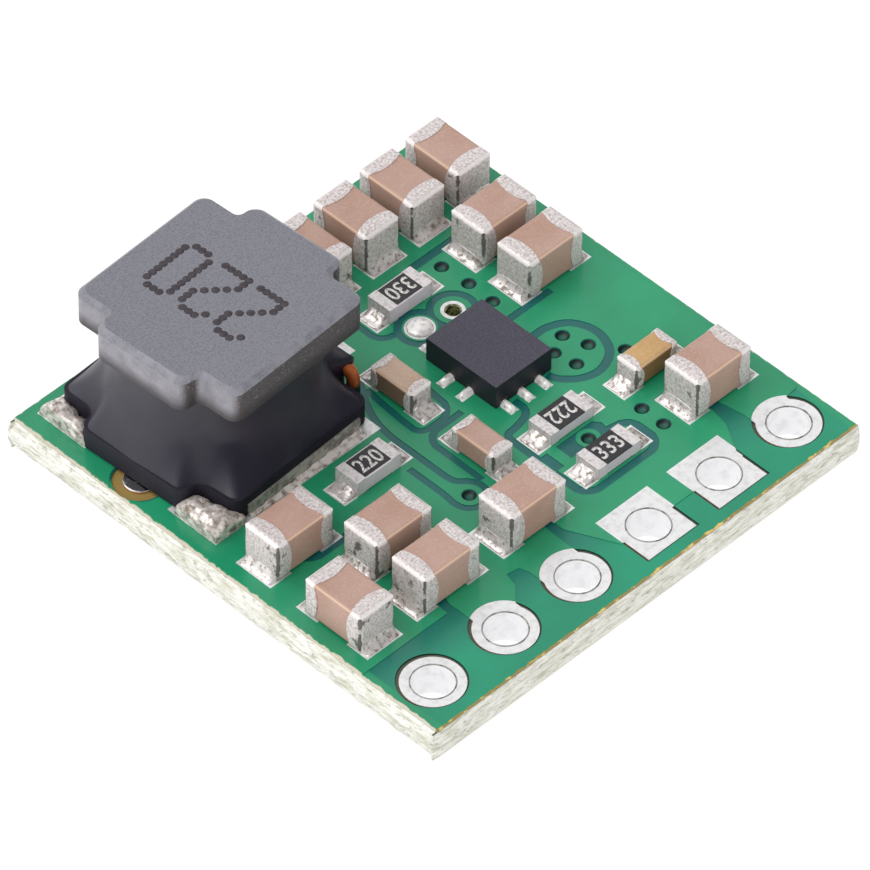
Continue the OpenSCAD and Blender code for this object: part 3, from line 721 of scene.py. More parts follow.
# smoother silver, less scuffed, with a fainter painted highlight along its upper edges
RESISTOR_TIN = SoftMetal("resistor_end_tin", bright="#E2DCDD", stain="#C2BBBA", roughness=0.45, lump=0.15,
                         depth=0.012, spot=0.09, stained=0.3, metallic=0.4, soft=0.1, smudged=0.5, edge_highlight_share=0.5)
# grey metal with slow, dull patches
TERMINAL = SoftMetal("silvered_terminal", bright="#BDB8B2", stain="#938E86", roughness=0.4, lump=0.25,
                     depth=0.02, spot=0.3, stained=0.45, metallic=0.5)
# clean white walls that stay bright inside the holes
BORE = SoftMetal("levelled_tin_in_the_bores", bright="#FAFAFB", stain="#F0F0F2", roughness=0.36, lump=0.5,
                 depth=0.01, spot=0.25, stained=0.3, metallic=0.3, soft=0.1)
# a clear mirror
MIRROR_TIN = SoftMetal("bright_tin_mark", bright="#DAD8D6", stain="#B9B6B3", roughness=0.1, lump=0.6,
                       depth=0.004, spot=0.3, stained=0.2)
# dark metal at the chip's sawn sides
LEAD_END = SoftMetal("tarnished_lead_end", bright="#5E5650", stain="#38322E", roughness=0.5, lump=0.1,
                     depth=0.01, spot=0.1, stained=0.5, metallic=0.6)
# matte pinkish brown with a painted highlight along its upper edges
BROWN_CERAMIC = FiredCeramic("brown_capacitor_ceramic", body="#B49487", dark="#AA8676", pale="#C2A79B")
# matte beige with painted shade in dark brown on its sides
BEIGE_CERAMIC = FiredCeramic("beige_capacitor_ceramic", body="#C9AE9B", dark="#B39682", pale="#D6BFAF",
                             side_shade_share=0.75)
# matte yellow tan with painted shade in brown on its sides
TAN_CERAMIC = FiredCeramic("tan_capacitor_ceramic", body="#C59F6C", dark="#AE8654", pale="#D6B88C",
                           side_shade_share=0.65)
# matte white with a faint violet cast and a painted highlight along its upper edges
ALUMINA = FiredCeramic("white_alumina", body="#DAD3D9", dark="#C8C0C7", pale="#E8E3E7", edge_wear_and_highlight="#ECE7EA",
                       roughness=0.6)
# stony grey on top, sparkling dark grey at the sides
CORE = Ferrite("ground_ferrite")
# blue-black with a broad soft sheen
COAT = DarkResin("cast_winding_resin", body="#141026", pale="#1F1934", side="#141026", shine=0.8)
# charcoal top with a fine grain over darker sides
CHIP_EPOXY = DarkResin("moulded_chip_epoxy", body="#403D49", pale="#555361", side="#211C29", grain=0.04,
                       roughness=0.5, shine=0.35)
# smooth black glass
OVERCOAT = DarkResin("resistor_overcoat_glass", body="#1D1B20", pale="#2E2B31", side="#1D1B20", grain=0.08,
                     roughness=0.28)
# warm orange metal under a clear coat, with painted shade on its lowest part
WIRE = EnamelledCopper("enamelled_copper_wire")
# bare brown-orange metal
FOIL = EnamelledCopper("etched_copper_foil", copper="#B87344", burnt="#94542F", shade_level=-1.0 * MM, coat=0.0)
# matte, slightly broken white
INK = PrintedInk("white_marking_ink", ink="#E6E3DE", thin="#A5A2A4")
# matte, slightly broken dark grey
DOT_INK = PrintedInk("dark_dot_ink", ink="#383136", thin="#4A4349")
# plain white that keeps the shadow
PAPER = StudioPaper("studio_paper")


def dress(name: str, finish: Finish) -> None:
    """Gives a finish to a CAD node.

    Args:
        name: the node.
        finish: its finish.
    """
    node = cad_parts[name]
    if not node.material_slots:
        node.data.materials.append(None)
    for place in node.material_slots:
        place.material = finish.material()
    LOG.info("dressed %s with %s", name, finish.name)


def as_mesh(name: str, bm: bmesh.types.BMesh) -> bpy.types.Mesh:
    """Turns a bmesh into a mesh.

    Args:
        name: the mesh's name.
        bm: the shape, which is freed.

    Returns:
        The mesh.
    """
    mesh = bpy.data.meshes.new(name)
    bm.to_mesh(mesh)
    bm.free()
    return mesh


def place_object(name: str, data: bpy.types.ID) -> bpy.types.Object:
    """Puts an object into the scene.

    Args:
        name: the object's name.
        data: its mesh, lamp or lens.

    Returns:
        The object.
    """
    placed = bpy.data.objects.new(name, data)
    bpy.context.scene.collection.objects.link(placed)
    return placed


def settle_order(bm: bmesh.types.BMesh) -> None:
    """Puts the faces in the order of their corners, so that each run gives the same mesh.

    Args:
        bm: the shape.
    """
    bm.verts.index_update()
    ordered = sorted(bm.faces, key=lambda face: [vert.index for vert in face.verts])
    for number, face in enumerate(ordered):
        face.index = number
    bm.faces.sort()


def add_piece(name: str, bm: bmesh.types.BMesh, finish: Finish,
              replaces: tuple[str, ...] = ()) -> None:
    """Turns a bmesh into a finished piece that rides on the board.

    Args:
        name: the piece's name.
        bm: its shape in place, which is freed.
        finish: its finish.
        replaces: CAD nodes that the piece stands for.
    """
    bmesh.ops.recalc_face_normals(bm, faces=bm.faces[:])
    settle_order(bm)
    for face in bm.faces:
        face.smooth = True
    mesh = as_mesh(name, bm)
    mesh.materials.append(finish.material())
    piece = place_object(name, mesh)
    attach(piece, "root")
    if replaces:
        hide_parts(*replaces)
    LOG.info("built %s, %d faces", name, len(mesh.polygons))


def merged_copy(name: str) -> bmesh.types.BMesh:
    """Copies a CAD node's mesh and merges its loose triangles.

    Args:
        name: the node.

    Returns:
        The merged copy.
    """
    bm = bmesh.new()
    bm.from_mesh(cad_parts[name].data)
    bmesh.ops.remove_doubles(bm, verts=bm.verts[:], dist=MERGE)
    return bm


def close_holes(bm: bmesh.types.BMesh) -> None:
    """Fills every hole in a bmesh."""
    bmesh.ops.holes_fill(bm, edges=[edge for edge in bm.edges if edge.is_boundary], sides=0)


def solid_box(corners: list[Vector]) -> tuple[Vector, Vector]:
    """Gives the lowest and highest corner of a list of points.

    Args:
        corners: the points.

    Returns:
        The lowest and the highest corner of their box.
    """
    low = Vector(min(c[i] for c in corners) for i in range(3))
    high = Vector(max(c[i] for c in corners) for i in range(3))
    return low, high


def islands(name: str) -> list[list[Vector]]:
    """Splits a CAD node into its separate solids.

    Args:
        name: the node.

    Returns:
        The corners of each solid.
    """
    bm = merged_copy(name)
    left = set(bm.verts)
    found = []
    while left:
        front = [left.pop()]
        solid = []
        while front:
            corner = front.pop()
            solid.append(corner.co.copy())
            near = {edge.other_vert(corner) for edge in corner.link_edges} & left
            left -= near
            front.extend(near)
        found.append(solid)
    bm.free()
    return sorted(found, key=lambda solid: tuple(round(v / MM, 3) for v in solid_box(solid)[0]))


def top_middle(name: str) -> Vector:
    """Gives the middle of the top of a CAD node's box.

    Args:
        name: the node.

    Returns:
        The place.
    """
    low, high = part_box(name)
    return Vector(((low.x + high.x) / 2, (low.y + high.y) / 2, high.z))


def wobble(place: Vector, size: float, seed: float = 0.0) -> float:
    """Gives smooth noise from -1 to 1 at a place.

    Args:
        place: where, in metres.
        size: width of the bumps, in metres.
        seed: moves the pattern.

    Returns:
        The noise.
    """
    return noise.noise(place / size + Vector((seed, 1.7 * seed, 2.3 * seed)))


class Edge(Enum):
    """The board's four snapped edges, each with the axis that it faces along and the side."""

    LEFT = (0, -1)
    RIGHT = (0, 1)
    FRONT = (1, -1)
    BACK = (1, 1)


@dataclass
class Board:
    """The bare board: laminate, copper, tin, lacquer, plated holes and the broken edges.

    Attributes:
        score: depth of the score line in each face.
        ragged: height of the torn fibres on the broken web.
        tear: width of the coarse tears.
        splinter: width of the fine tears.
        splinter_seed: moves the fine tears.
        drawn_out: share of their length that tears keep along the edge when their pattern is read.
        layered: the same over the board's thickness.
        calm_corner: how fast the tears begin at the ends of an edge.
        calm_rim: height over which they begin at the upper and lower rim.
        clearance: least distance of the torn skin from the laminate.
        columns: steps along an edge.
        rows: steps over the thickness.
        skin: thickness of the torn skin.
        hole_r: radius of a plated hole.
        lip: radius of the bead round the mouth of a hole.
        lip_sides: sides of that bead's section.
        lip_steps: steps round the hole.
        dome_at: place of the solder drop on the round test pad.
        dome_r: radius of that drop.
        dome_h: height of that drop.
        mark_at: place of the registration mark.
        mark_r: radius of the tin on it.
        mark_h: height of that tin.
        dent: how uneven the drops are.
        dent_size: width of the dents in a drop with a radius of one millimetre.
    """

    score: float = 0.3 * MM
    ragged: float = 0.075 * MM
    tear: float = 0.09 * MM
    splinter: float = 0.035 * MM
    splinter_seed: float = 5.0
    drawn_out: float = 0.22
    layered: float = 1.6
    calm_corner: float = 60.0
    calm_rim: float = 0.03 * MM
    clearance: float = 0.004 * MM
    columns: int = 320
    rows: int = 14
    skin: float = 0.05 * MM
    hole_r: float = 0.575 * MM
    lip: float = 0.02 * MM
    lip_sides: int = 8
    lip_steps: int = 64
    dome_at: tuple[float, float] = (2.1 * MM, 2.61 * MM)
    dome_r: float = 0.36 * MM
    dome_h: float = 0.12 * MM
    mark_at: tuple[float, float] = (-6.7 * MM, 3.75 * MM)
    mark_r: float = 0.428 * MM
    mark_h: float = 0.025 * MM
    dent: float = 0.25
    dent_size: float = 0.7 * MM

    def build(self) -> None:
        """Dresses the board's nodes and adds the torn edges, the hole lips and the drops."""
        for name, finish in (("pcb_laminate", LAMINATE), ("copper_pours", FOIL), ("via_barrels", VIA_WALL),
                             ("tinned_lands", TIN), ("bore_plating", BORE), ("solder_mask_top", LACQUER),
                             ("solder_mask_bottom", LACQUER_UNDER)):
            dress(name, finish)
        for edge in Edge:
            self.torn_edge(edge)
        self.hole_lips()
        self.drop("test_pad_solder", self.dome_at, self.dome_r, self.dome_h, CLEAN_SOLDER)
        self.drop("registration_mark_tin", self.mark_at, self.mark_r, self.mark_h, MIRROR_TIN)

    def torn_edge(self, edge: Edge) -> None:
        """Models the torn glass along one edge as a thin skin over the laminate.

        Args:
            edge: which edge.
        """
        low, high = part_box("pcb_laminate")
        mask_low, mask_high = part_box("solder_mask_top")
        axis, side = edge.value
        run = 1 - axis
        outer = low[axis] if side < 0 else high[axis]
        snap = abs((mask_low if side < 0 else mask_high)[axis] - outer)
        length = high[run] - low[run]
        thick = high.z - low.z
        bm = bmesh.new()
        bmesh.ops.create_grid(bm, x_segments=self.columns, y_segments=self.rows, size=0.5)
        for vert in bm.verts:
            s, t = vert.co.x, vert.co.y
            z = low.z + (t + 0.5) * thick
            depth = min(z - low.z, high.z - z)
            slope = max(0.0, 1 - depth / self.score)
            along = (low[run] + high[run]) / 2 + s * (length - 2 * snap * slope)
            grain = Vector((along * self.drawn_out, z * self.layered, 3.0 * axis * MM + side * MM))
            torn = (0.55 + 0.5 * wobble(grain, self.tear)
                    + 0.35 * wobble(grain, self.splinter, self.splinter_seed))
            fade = min(1.0, (0.5 - abs(s)) * self.calm_corner) * (1 - 0.6 * slope) * min(
                1.0, depth / self.calm_rim)
            out = self.clearance - snap * slope + self.ragged * fade * max(0.0, torn)
            vert.co[axis] = outer + side * out
            vert.co[run] = along
            vert.co.z = z
        inner = bmesh.ops.extrude_face_region(bm, geom=bm.faces[:], use_keep_orig=True)["geom"]
        shift = Vector((0.0, 0.0, 0.0))
        shift[axis] = -side * self.skin
        bmesh.ops.translate(bm, verts=[g for g in inner if isinstance(g, bmesh.types.BMVert)], vec=shift)
        add_piece(f"torn_edge_{edge.name.lower()}", bm, LAMINATE)

    def hole_lips(self) -> None:
        """Models a bead of plating round the mouth of each header hole, its grey finish painted shade."""
        bm = bmesh.new()
        for corners in islands("bore_plating"):
            low, high = solid_box(corners)
            centre = Vector(((low.x + high.x) / 2, (low.y + high.y) / 2, high.z))
            rim = Matrix.Translation(centre + Vector((self.hole_r + self.lip / 2, 0.0, 0.0)))
            bead = bmesh.ops.create_circle(bm, segments=self.lip_sides, radius=self.lip,
                                           matrix=rim @ Matrix.Rotation(math.radians(90), 4, "X"))["verts"]
            edges = list(dict.fromkeys(edge for vert in bead for edge in vert.link_edges))
            bmesh.ops.spin(bm, geom=bead + edges, cent=centre, axis=(0.0, 0.0, 1.0), angle=2 * math.pi,
                           steps=self.lip_steps, use_merge=True)
        add_piece("hole_lips", bm, LIP)

    def drop(self, name: str, at: tuple[float, float], radius: float, height: float, finish: Finish) -> None:
        """Models a flat drop of metal on a round pad.

        Args:
            name: the piece's name.
            at: middle of the pad.
            radius: radius of the drop.
            height: height of the drop.
            finish: its finish.
        """
        _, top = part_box("tinned_lands")
        bm = bmesh.new()
        bmesh.ops.create_icosphere(bm, subdivisions=4, radius=1.0)
        bmesh.ops.bisect_plane(bm, geom=bm.verts[:] + bm.edges[:] + bm.faces[:], plane_co=(0, 0, 0),
                               plane_no=(0, 0, -1), clear_outer=True)
        close_holes(bm)
        centre = Vector((*at, top.z))
        for vert in bm.verts:
            lift = height * vert.co.z * (1 + self.dent * wobble(vert.co * MM, self.dent_size))
            vert.co = centre + Vector((vert.co.x * radius, vert.co.y * radius, lift))
        add_piece(name, bm, finish)


@dataclass(frozen=True)
class Bed:
    """The place of one solder joint.

    Attributes:
        low: lowest corner of the plain CAD fillet.
        high: highest corner of the plain CAD fillet.
        axis: axis along which the joint runs out.
        side: direction of its toe on that axis.
        seed: number of the joint, which moves its lumps.
    """

    low: Vector
    high: Vector
    axis: int
    side: int
    seed: int

    def spot(self, u: float, v: float, tuck: float) -> Vector:
        """Gives a place on the ground of the joint.

        Args:
            u: how far it lies from the heel, 0, to the toe, 1.
            v: how far it lies across, from -1 to 1.
            tuck: how far the heel reaches into the metal that it wets.

        Returns:
            The place.
        """
        axis, across = self.axis, 1 - self.axis
        low, high = self.low, self.high
        reach = high[axis] - low[axis] + tuck
        place = Vector((0.0, 0.0, low.z))
        place[axis] = (low[axis] if self.side > 0 else high[axis]) + self.side * (u * reach - tuck)
        place[across] = (low[across] + high[across]) / 2 + v * (high[across] - low[across]) / 2
        return place


@dataclass
class Joints:
    """The solder joints: fillets at the components' ends and the chip's leads, and heaps at the inductor.

    Attributes:
        cuts: cuts in each edge of a fillet's block.
        crest: depth below its top to which a plain fillet's crest reaches.
        tuck: how far a fillet reaches into the metal that it wets.
        toe: thickness of the solder near a fillet's toe.
        climb: share of the plain fillet's height that the solder reaches.
        hollow: how hollow a fillet's slope is; 1 is a straight slope.
        drop_h: height of the drop on a lead of the chip.
        least: least thickness of the solder.
        lumps: height of the frozen lumps.
        lump_size: width of the frozen lumps.
        seed_step: how far the lumps' pattern moves from joint to joint.
        spread: share of its plain height that the solder along a terminal keeps.
        voxel: grid on which the inductor's heaps are melted together, in millimetres.
        smoothing: rounds of smoothing after that.
        crease_size: distance between the creases in a heap.
        grit_size: width of the grit on a heap.
        grit_seed: moves the grit.
        long_from: length from which a plain fillet is that along a terminal.
    """

    cuts: int = 7
    crest: float = 0.002 * MM
    tuck: float = 0.02 * MM
    toe: float = 0.05 * MM
    climb: float = 0.75
    hollow: float = 2.4
    drop_h: float = 0.15 * MM
    least: float = 0.008 * MM
    lumps: float = 0.035 * MM
    lump_size: float = 0.16 * MM
    seed_step: float = 3.1
    spread: float = 0.3
    voxel: float = 0.03
    smoothing: int = 4
    crease_size: float = 0.36 * MM
    grit_size: float = 0.1 * MM
    grit_seed: float = 9.0
    long_from: float = 3.0 * MM

    def build(self) -> None:
        """Adds all joints in place of the plain CAD ones."""
        self.fillets("solder_fillets_components", "component_solder", self.press, SOLDER)
        self.fillets("solder_drops_chip", "chip_solder", self.drop, CLEAN_SOLDER)
        self.heaps()

    def fillets(self, name: str, node: str, form: Callable[[Vector, Bed], Vector], finish: Finish) -> None:
        """Presses a lumpy fillet over each plain one of a CAD node.

        Args:
            name: the piece's name.
            node: the CAD node with the plain fillets.
            form: the method that moves a corner of the unit block to its place.
            finish: the solder's finish.
        """
        cube = bmesh.new()
        bmesh.ops.create_cube(cube, size=1.0)
        bmesh.ops.subdivide_edges(cube, edges=cube.edges[:], cuts=self.cuts, use_grid_fill=True)
        block = as_mesh("fillet_block", cube)
        bm = bmesh.new()
        for seed, corners in enumerate(islands(node)):
            low, high = solid_box(corners)
            ridge_low, ridge_high = solid_box([c for c in corners if c.z > high.z - self.crest])
            axis = 0 if ridge_high.x - ridge_low.x < ridge_high.y - ridge_low.y else 1
            side = 1 if ridge_high[axis] < (low[axis] + high[axis]) / 2 else -1
            bed = Bed(low, high, axis, side, seed)
            start = len(bm.verts)
            bm.from_mesh(block)
            bm.verts.ensure_lookup_table()
            for vert in bm.verts[start:]:
                vert.co = form(vert.co, bed)
        bpy.data.meshes.remove(block)
        add_piece(name, bm, finish, (node,))

    def press(self, corner: Vector, bed: Bed) -> Vector:
        """Moves a corner of the unit block to its place in a fillet.

        Args:
            corner: the corner in the unit block.
            bed: the fillet's place.

        Returns:
            The corner's new place.
        """
        u, v, w = corner.x + 0.5, 2 * corner.y, corner.z + 0.5
        place = bed.spot(u, v * (1 - 0.1 * u * u - 0.06 * w), self.tuck)
        slope = (bed.high.z - bed.low.z) * self.climb * (1 - u) ** self.hollow
        rise = slope + self.toe * math.sqrt(1.0 - 0.96 * u * u)
        crown = 1 - 0.45 * abs(v) ** 4
        lump = self.lumps * wobble(place, self.lump_size, self.seed_step * bed.seed) * (0.4 + 0.6 * (1 - u))
        place.z = bed.low.z + w * max(self.least, rise * crown + lump)
        return place

    def drop(self, corner: Vector, bed: Bed) -> Vector:
        """Moves a corner of the unit block to its place in an oval drop on a lead of the chip.

        Args:
            corner: the corner in the unit block.
            bed: the drop's place.

        Returns:
            The corner's new place.
        """
        u, v, w = corner.x + 0.5, 2 * corner.y, corner.z + 0.5
        taper = 1.02 * math.sqrt(1 - 0.85 * u ** 5) * (1 - 0.2 * w * w)
        place = bed.spot(u, v * taper, self.tuck)
        crown = math.sqrt((1 - 0.9 * v * v) * (1 - 0.95 * u ** 4))
        lump = 0.3 * self.lumps * wobble(place, self.lump_size, self.seed_step * bed.seed)
        place.z = bed.low.z + w * max(self.least, self.drop_h * crown + lump)
        return place

    def heaps(self) -> None:
        """Melts the inductor's plain joints into heaps that are lumpy in the notches and calm elsewhere."""
        boxes = [solid_box(solid) for solid in islands("inductor_solder")]
        long = [(low, high) for low, high in boxes if high.x - low.x > self.long_from]
        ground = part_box("inductor_solder")[0].z
        bm = merged_copy("inductor_solder")
        bmesh.ops.scale(bm, vec=(1 / MM, 1 / MM, 1 / MM), verts=bm.verts[:])
        mesh = as_mesh("heap_grid", bm)
        grid = place_object("heap_grid", mesh)
        melt = grid.modifiers.new("melt", "REMESH")
        melt.mode = "VOXEL"
        melt.voxel_size = self.voxel
        melted = bpy.data.meshes.new_from_object(grid.evaluated_get(bpy.context.evaluated_depsgraph_get()))
        heap = bmesh.new()
        heap.from_mesh(melted)
        bpy.data.objects.remove(grid)
        bpy.data.meshes.remove(mesh)
        bpy.data.meshes.remove(melted)
        for _ in range(self.smoothing):
            bmesh.ops.smooth_vert(heap, verts=heap.verts[:], factor=0.5, use_axis_x=True, use_axis_y=True,
                                  use_axis_z=True)
        bmesh.ops.scale(heap, vec=(MM, MM, MM), verts=heap.verts[:])
        heap.normal_update()
        for vert in heap.verts:
            calm = any(low.x <= vert.co.x <= high.x and low.y <= vert.co.y <= high.y for low, high in long)
            crease = abs(wobble(vert.co, self.crease_size)) - 0.25
            grit = wobble(vert.co, self.grit_size, self.grit_seed)
            vert.co += vert.normal * self.lumps * (0.25 * grit if calm else 2.4 * crease + 0.5 * grit)
            if calm:
                vert.co.z = ground + (vert.co.z - ground) * self.spread
        add_piece("solder_heaps_inductor", heap, HEAP_SOLDER, ("inductor_solder",))


# Dots of the plain figures on the inductor, row by row
DOT_FIGURES = {
    "0": ("01110", *("10001",) * 8, "01110"),
    "2": ("01110", "10001", "00001", "00001", "00010", "00100", "01000", "10000", "10000", "11111"),
}


@dataclass
class Inductor:
    """The drum-core inductor with its resin, wire ends, terminals and dotted figures.

    Attributes:
        middle: middle of the lower flange.
        floor_z: level of the lower flange's top.
        ceiling_z: level of the upper flange's underside.
        waist_r: radius of the resin at its waist.
        flare: height over which the resin draws in from its foot.
        bow: how hollow the drawn-in side is; 1 is a straight cone.
        calm: height above which the notches of the flange no longer show in the resin.
        even_steps: steps on each side over which the notches are evened out there.
        inset: distance of the foot from the flange's edge.
        sunk: depth of its foot in the flange.
        probe: depth below the flange's top at which its edge is measured.
        turned: turn of the inductor on the board, in degrees.
        wire_spans: angles between which the resin covers each wire end, in degrees.
        wire_x: distance of the covered wire's outer side from the middle.
        wire_h: height to which it covers one.
        wire_fade: share of that height over which the cover fades out above it.
        wire_edge: angle over which it runs out to both sides, in degrees.
        columns: steps round the resin.
        rows: steps over its height.
        dense: how far the steps are crowded towards the foot; 1 is evenly.
        sag: height of the bumps in the resin.
        sag_size: width of the bumps in the resin.
        sag_turn: angle round the resin that counts as a millimetre in their pattern, in degrees.
        sag_from: height over which the bumps begin.
        figures: plain figures printed on the top.
        dot_r: radius of a printed dot.
        dot_pitch: distance between dots.
        ink_t: thickness of the ink.
        figure_gap: distance between figures.
        turn: turn of the line of figures on the board, in degrees.
    """

    middle: tuple[float, float] = (-3.75 * MM, 4.09 * MM)
    floor_z: float = 1.71 * MM
    ceiling_z: float = 4.31 * MM
    waist_r: float = 2.46 * MM
    flare: float = 2.3 * MM
    bow: float = 1.9
    calm: float = 1.0 * MM
    even_steps: int = 20
    inset: float = 0.012 * MM
    sunk: float = 0.003 * MM
    probe: float = 0.1 * MM
    turned: float = 3.0
    wire_spans: tuple[tuple[float, float], ...] = ((-31.0, -9.0), (15.0, 37.0))
    wire_x: float = 3.05 * MM
    wire_h: float = 0.41 * MM
    wire_fade: float = 0.4
    wire_edge: float = 3.0
    columns: int = 180
    rows: int = 48
    dense: float = 1.8
    sag: float = 0.02 * MM
    sag_size: float = 0.8 * MM
    sag_turn: float = 60.0
    sag_from: float = 0.2 * MM
    figures: str = "220"
    dot_r: float = 0.115 * MM
    dot_pitch: float = 0.2 * MM
    ink_t: float = 0.006 * MM
    figure_gap: float = 1.2 * MM
    turn: float = 93.0

    def build(self) -> None:
        """Dresses the inductor's nodes, pours its resin and prints its figures."""
        for name, finish in (("inductor_core", CORE), ("inductor_winding", WIRE),
                             ("inductor_wire_tails", WIRE), ("inductor_terminals", TERMINAL)):
            dress(name, finish)
        self.resin()
        self.dots()

    def evened(self, ring: list[float], reach: int) -> list[float]:
        """Evens out a ring of radii.

        Args:
            ring: the radius at each step round the inductor.
            reach: how many steps on each side count.

        Returns:
            The mean radius round each step.
        """
        near = range(-reach, reach + 1)
        return [sum(ring[(i + k) % self.columns] for k in near) / len(near) for i in range(self.columns)]

    def foot(self) -> list[float]:
        """Measures how far the resin reaches out on the lower flange.

        Returns:
            The radius of the resin's foot at each step round it.
        """
        core = merged_copy("inductor_core")
        tree = BVHTree.FromBMesh(core)
        core.free()
        start = Vector((*self.middle, self.floor_z - self.probe))
        edge = []
        for step in range(self.columns):
            turn = 2 * math.pi * step / self.columns
            _, _, _, reach = tree.ray_cast(start, Vector((math.cos(turn), math.sin(turn), 0.0)))
            edge.append(reach - self.inset)
        least = [min(edge[(i + k) % self.columns] for k in (-1, 0, 1)) for i in range(self.columns)]
        return self.evened(least, 1)

    def resin(self) -> None:
        """Models the resin that flares from the winding to the lower flange and covers the wire ends."""
        foot = self.foot()
        even = self.evened(foot, self.even_steps)
        bm = bmesh.new()
        bmesh.ops.create_grid(bm, x_segments=self.columns, y_segments=self.rows, size=0.5)
        for vert in bm.verts:
            step = round((vert.co.x + 0.5) * self.columns) % self.columns
            turn = 360 * step / self.columns
            h = (vert.co.y + 0.5) ** self.dense * (self.ceiling_z - self.floor_z + self.sunk) - self.sunk
            rise = 1 - min(1.0, max(0.0, h) / self.flare)
            share = min(1.0, max(0.0, h) / self.calm)
            edge = foot[step] + (even[step] - foot[step]) * share
            r = self.waist_r + (edge - self.waist_r) * rise ** self.bow
            fade = min(1.0, max(0.0, h / self.wire_h - 1) / self.wire_fade)
            for first, last in self.wire_spans:
                angle = (turn - first + 180) % 360 - 180 + first
                beyond = max(0.0, first - angle, angle - last)
                lobe = math.exp(-(beyond / self.wire_edge) ** 2) * (1 - fade * fade)
                side = self.wire_x / math.cos(math.radians(min(max(angle, first), last) - self.turned))
                r = max(r, self.waist_r + (side - self.waist_r) * lobe)
            bump = wobble(Vector((turn / self.sag_turn, h / MM, 0.0)) * MM, self.sag_size)
            r += self.sag * bump * min(1.0, h / self.sag_from)
            angle = math.radians(turn)
            vert.co = Vector((self.middle[0] + r * math.cos(angle), self.middle[1] + r * math.sin(angle),
                              self.floor_z + h))
        bmesh.ops.remove_doubles(bm, verts=bm.verts[:], dist=MERGE)
        close_holes(bm)
        add_piece("winding_resin", bm, COAT, ("inductor_coat",))

    def dots(self) -> None:
        """Prints the plain figures as rows of ink dots."""
        turned = Matrix.Rotation(math.radians(self.turn), 4, "Z")
        place = Matrix.Translation(top_middle("inductor_core")) @ turned
        bm = bmesh.new()
        for number, figure in enumerate(self.figures):
            shift = (number - (len(self.figures) - 1) / 2) * self.figure_gap
            lines = DOT_FIGURES[figure]
            middle_row, middle_column = (len(lines) - 1) / 2, (len(lines[0]) - 1) / 2
            inked = [(row, column) for row, line in enumerate(lines)
                     for column, dot in enumerate(line) if dot == "1"]
            for row, column in inked:
                spot = Vector((shift + (column - middle_column) * self.dot_pitch,
                               (middle_row - row) * self.dot_pitch, self.ink_t / 2))
                bmesh.ops.create_cone(bm, cap_ends=True, segments=12, radius1=self.dot_r,
                                      radius2=self.dot_r * 0.8, depth=self.ink_t,
                                      matrix=place @ Matrix.Translation(spot))
        add_piece("inductor_dot_figures", bm, DOT_INK)


@dataclass
class Chip:
    """The leadless controller chip.

    Attributes:
        dot_r: radius of the moulded corner dot.
        dot_in: distance of the dot from the two sides.
        dot_t: height of the dot's rim.
        dot_sunk: depth of the rim's foot in the chip.
    """

    dot_r: float = 0.13 * MM
    dot_in: float = 0.38 * MM
    dot_t: float = 0.008 * MM
    dot_sunk: float = 0.002 * MM

    def build(self) -> None:
        """Dresses the chip's nodes and adds the moulded corner dot."""
        dress("chip_body", CHIP_EPOXY)
        dress("chip_leadframe", LEAD_END)
        self.corner_dot()

    def corner_dot(self) -> None:
        """Models the shallow moulded ring that marks the chip's first corner."""
        low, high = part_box("chip_body")
        bm = bmesh.new()
        ring = bmesh.ops.create_circle(bm, cap_ends=True, segments=40, radius=self.dot_r)
        bmesh.ops.inset_region(bm, faces=bm.faces[:], thickness=self.dot_r * 0.25, depth=0.0)
        bm.faces.ensure_lookup_table()
        bmesh.ops.inset_region(bm, faces=[bm.faces[0]], thickness=self.dot_r * 0.1, depth=-self.dot_t)
        bmesh.ops.translate(bm, verts=bm.verts[:], vec=(low.x + self.dot_in, high.y - self.dot_in,
                                                        high.z + self.dot_t))
        for vert in ring["verts"]:
            vert.co.z = high.z - self.dot_sunk
        add_piece("chip_corner_dot", bm, CHIP_EPOXY)


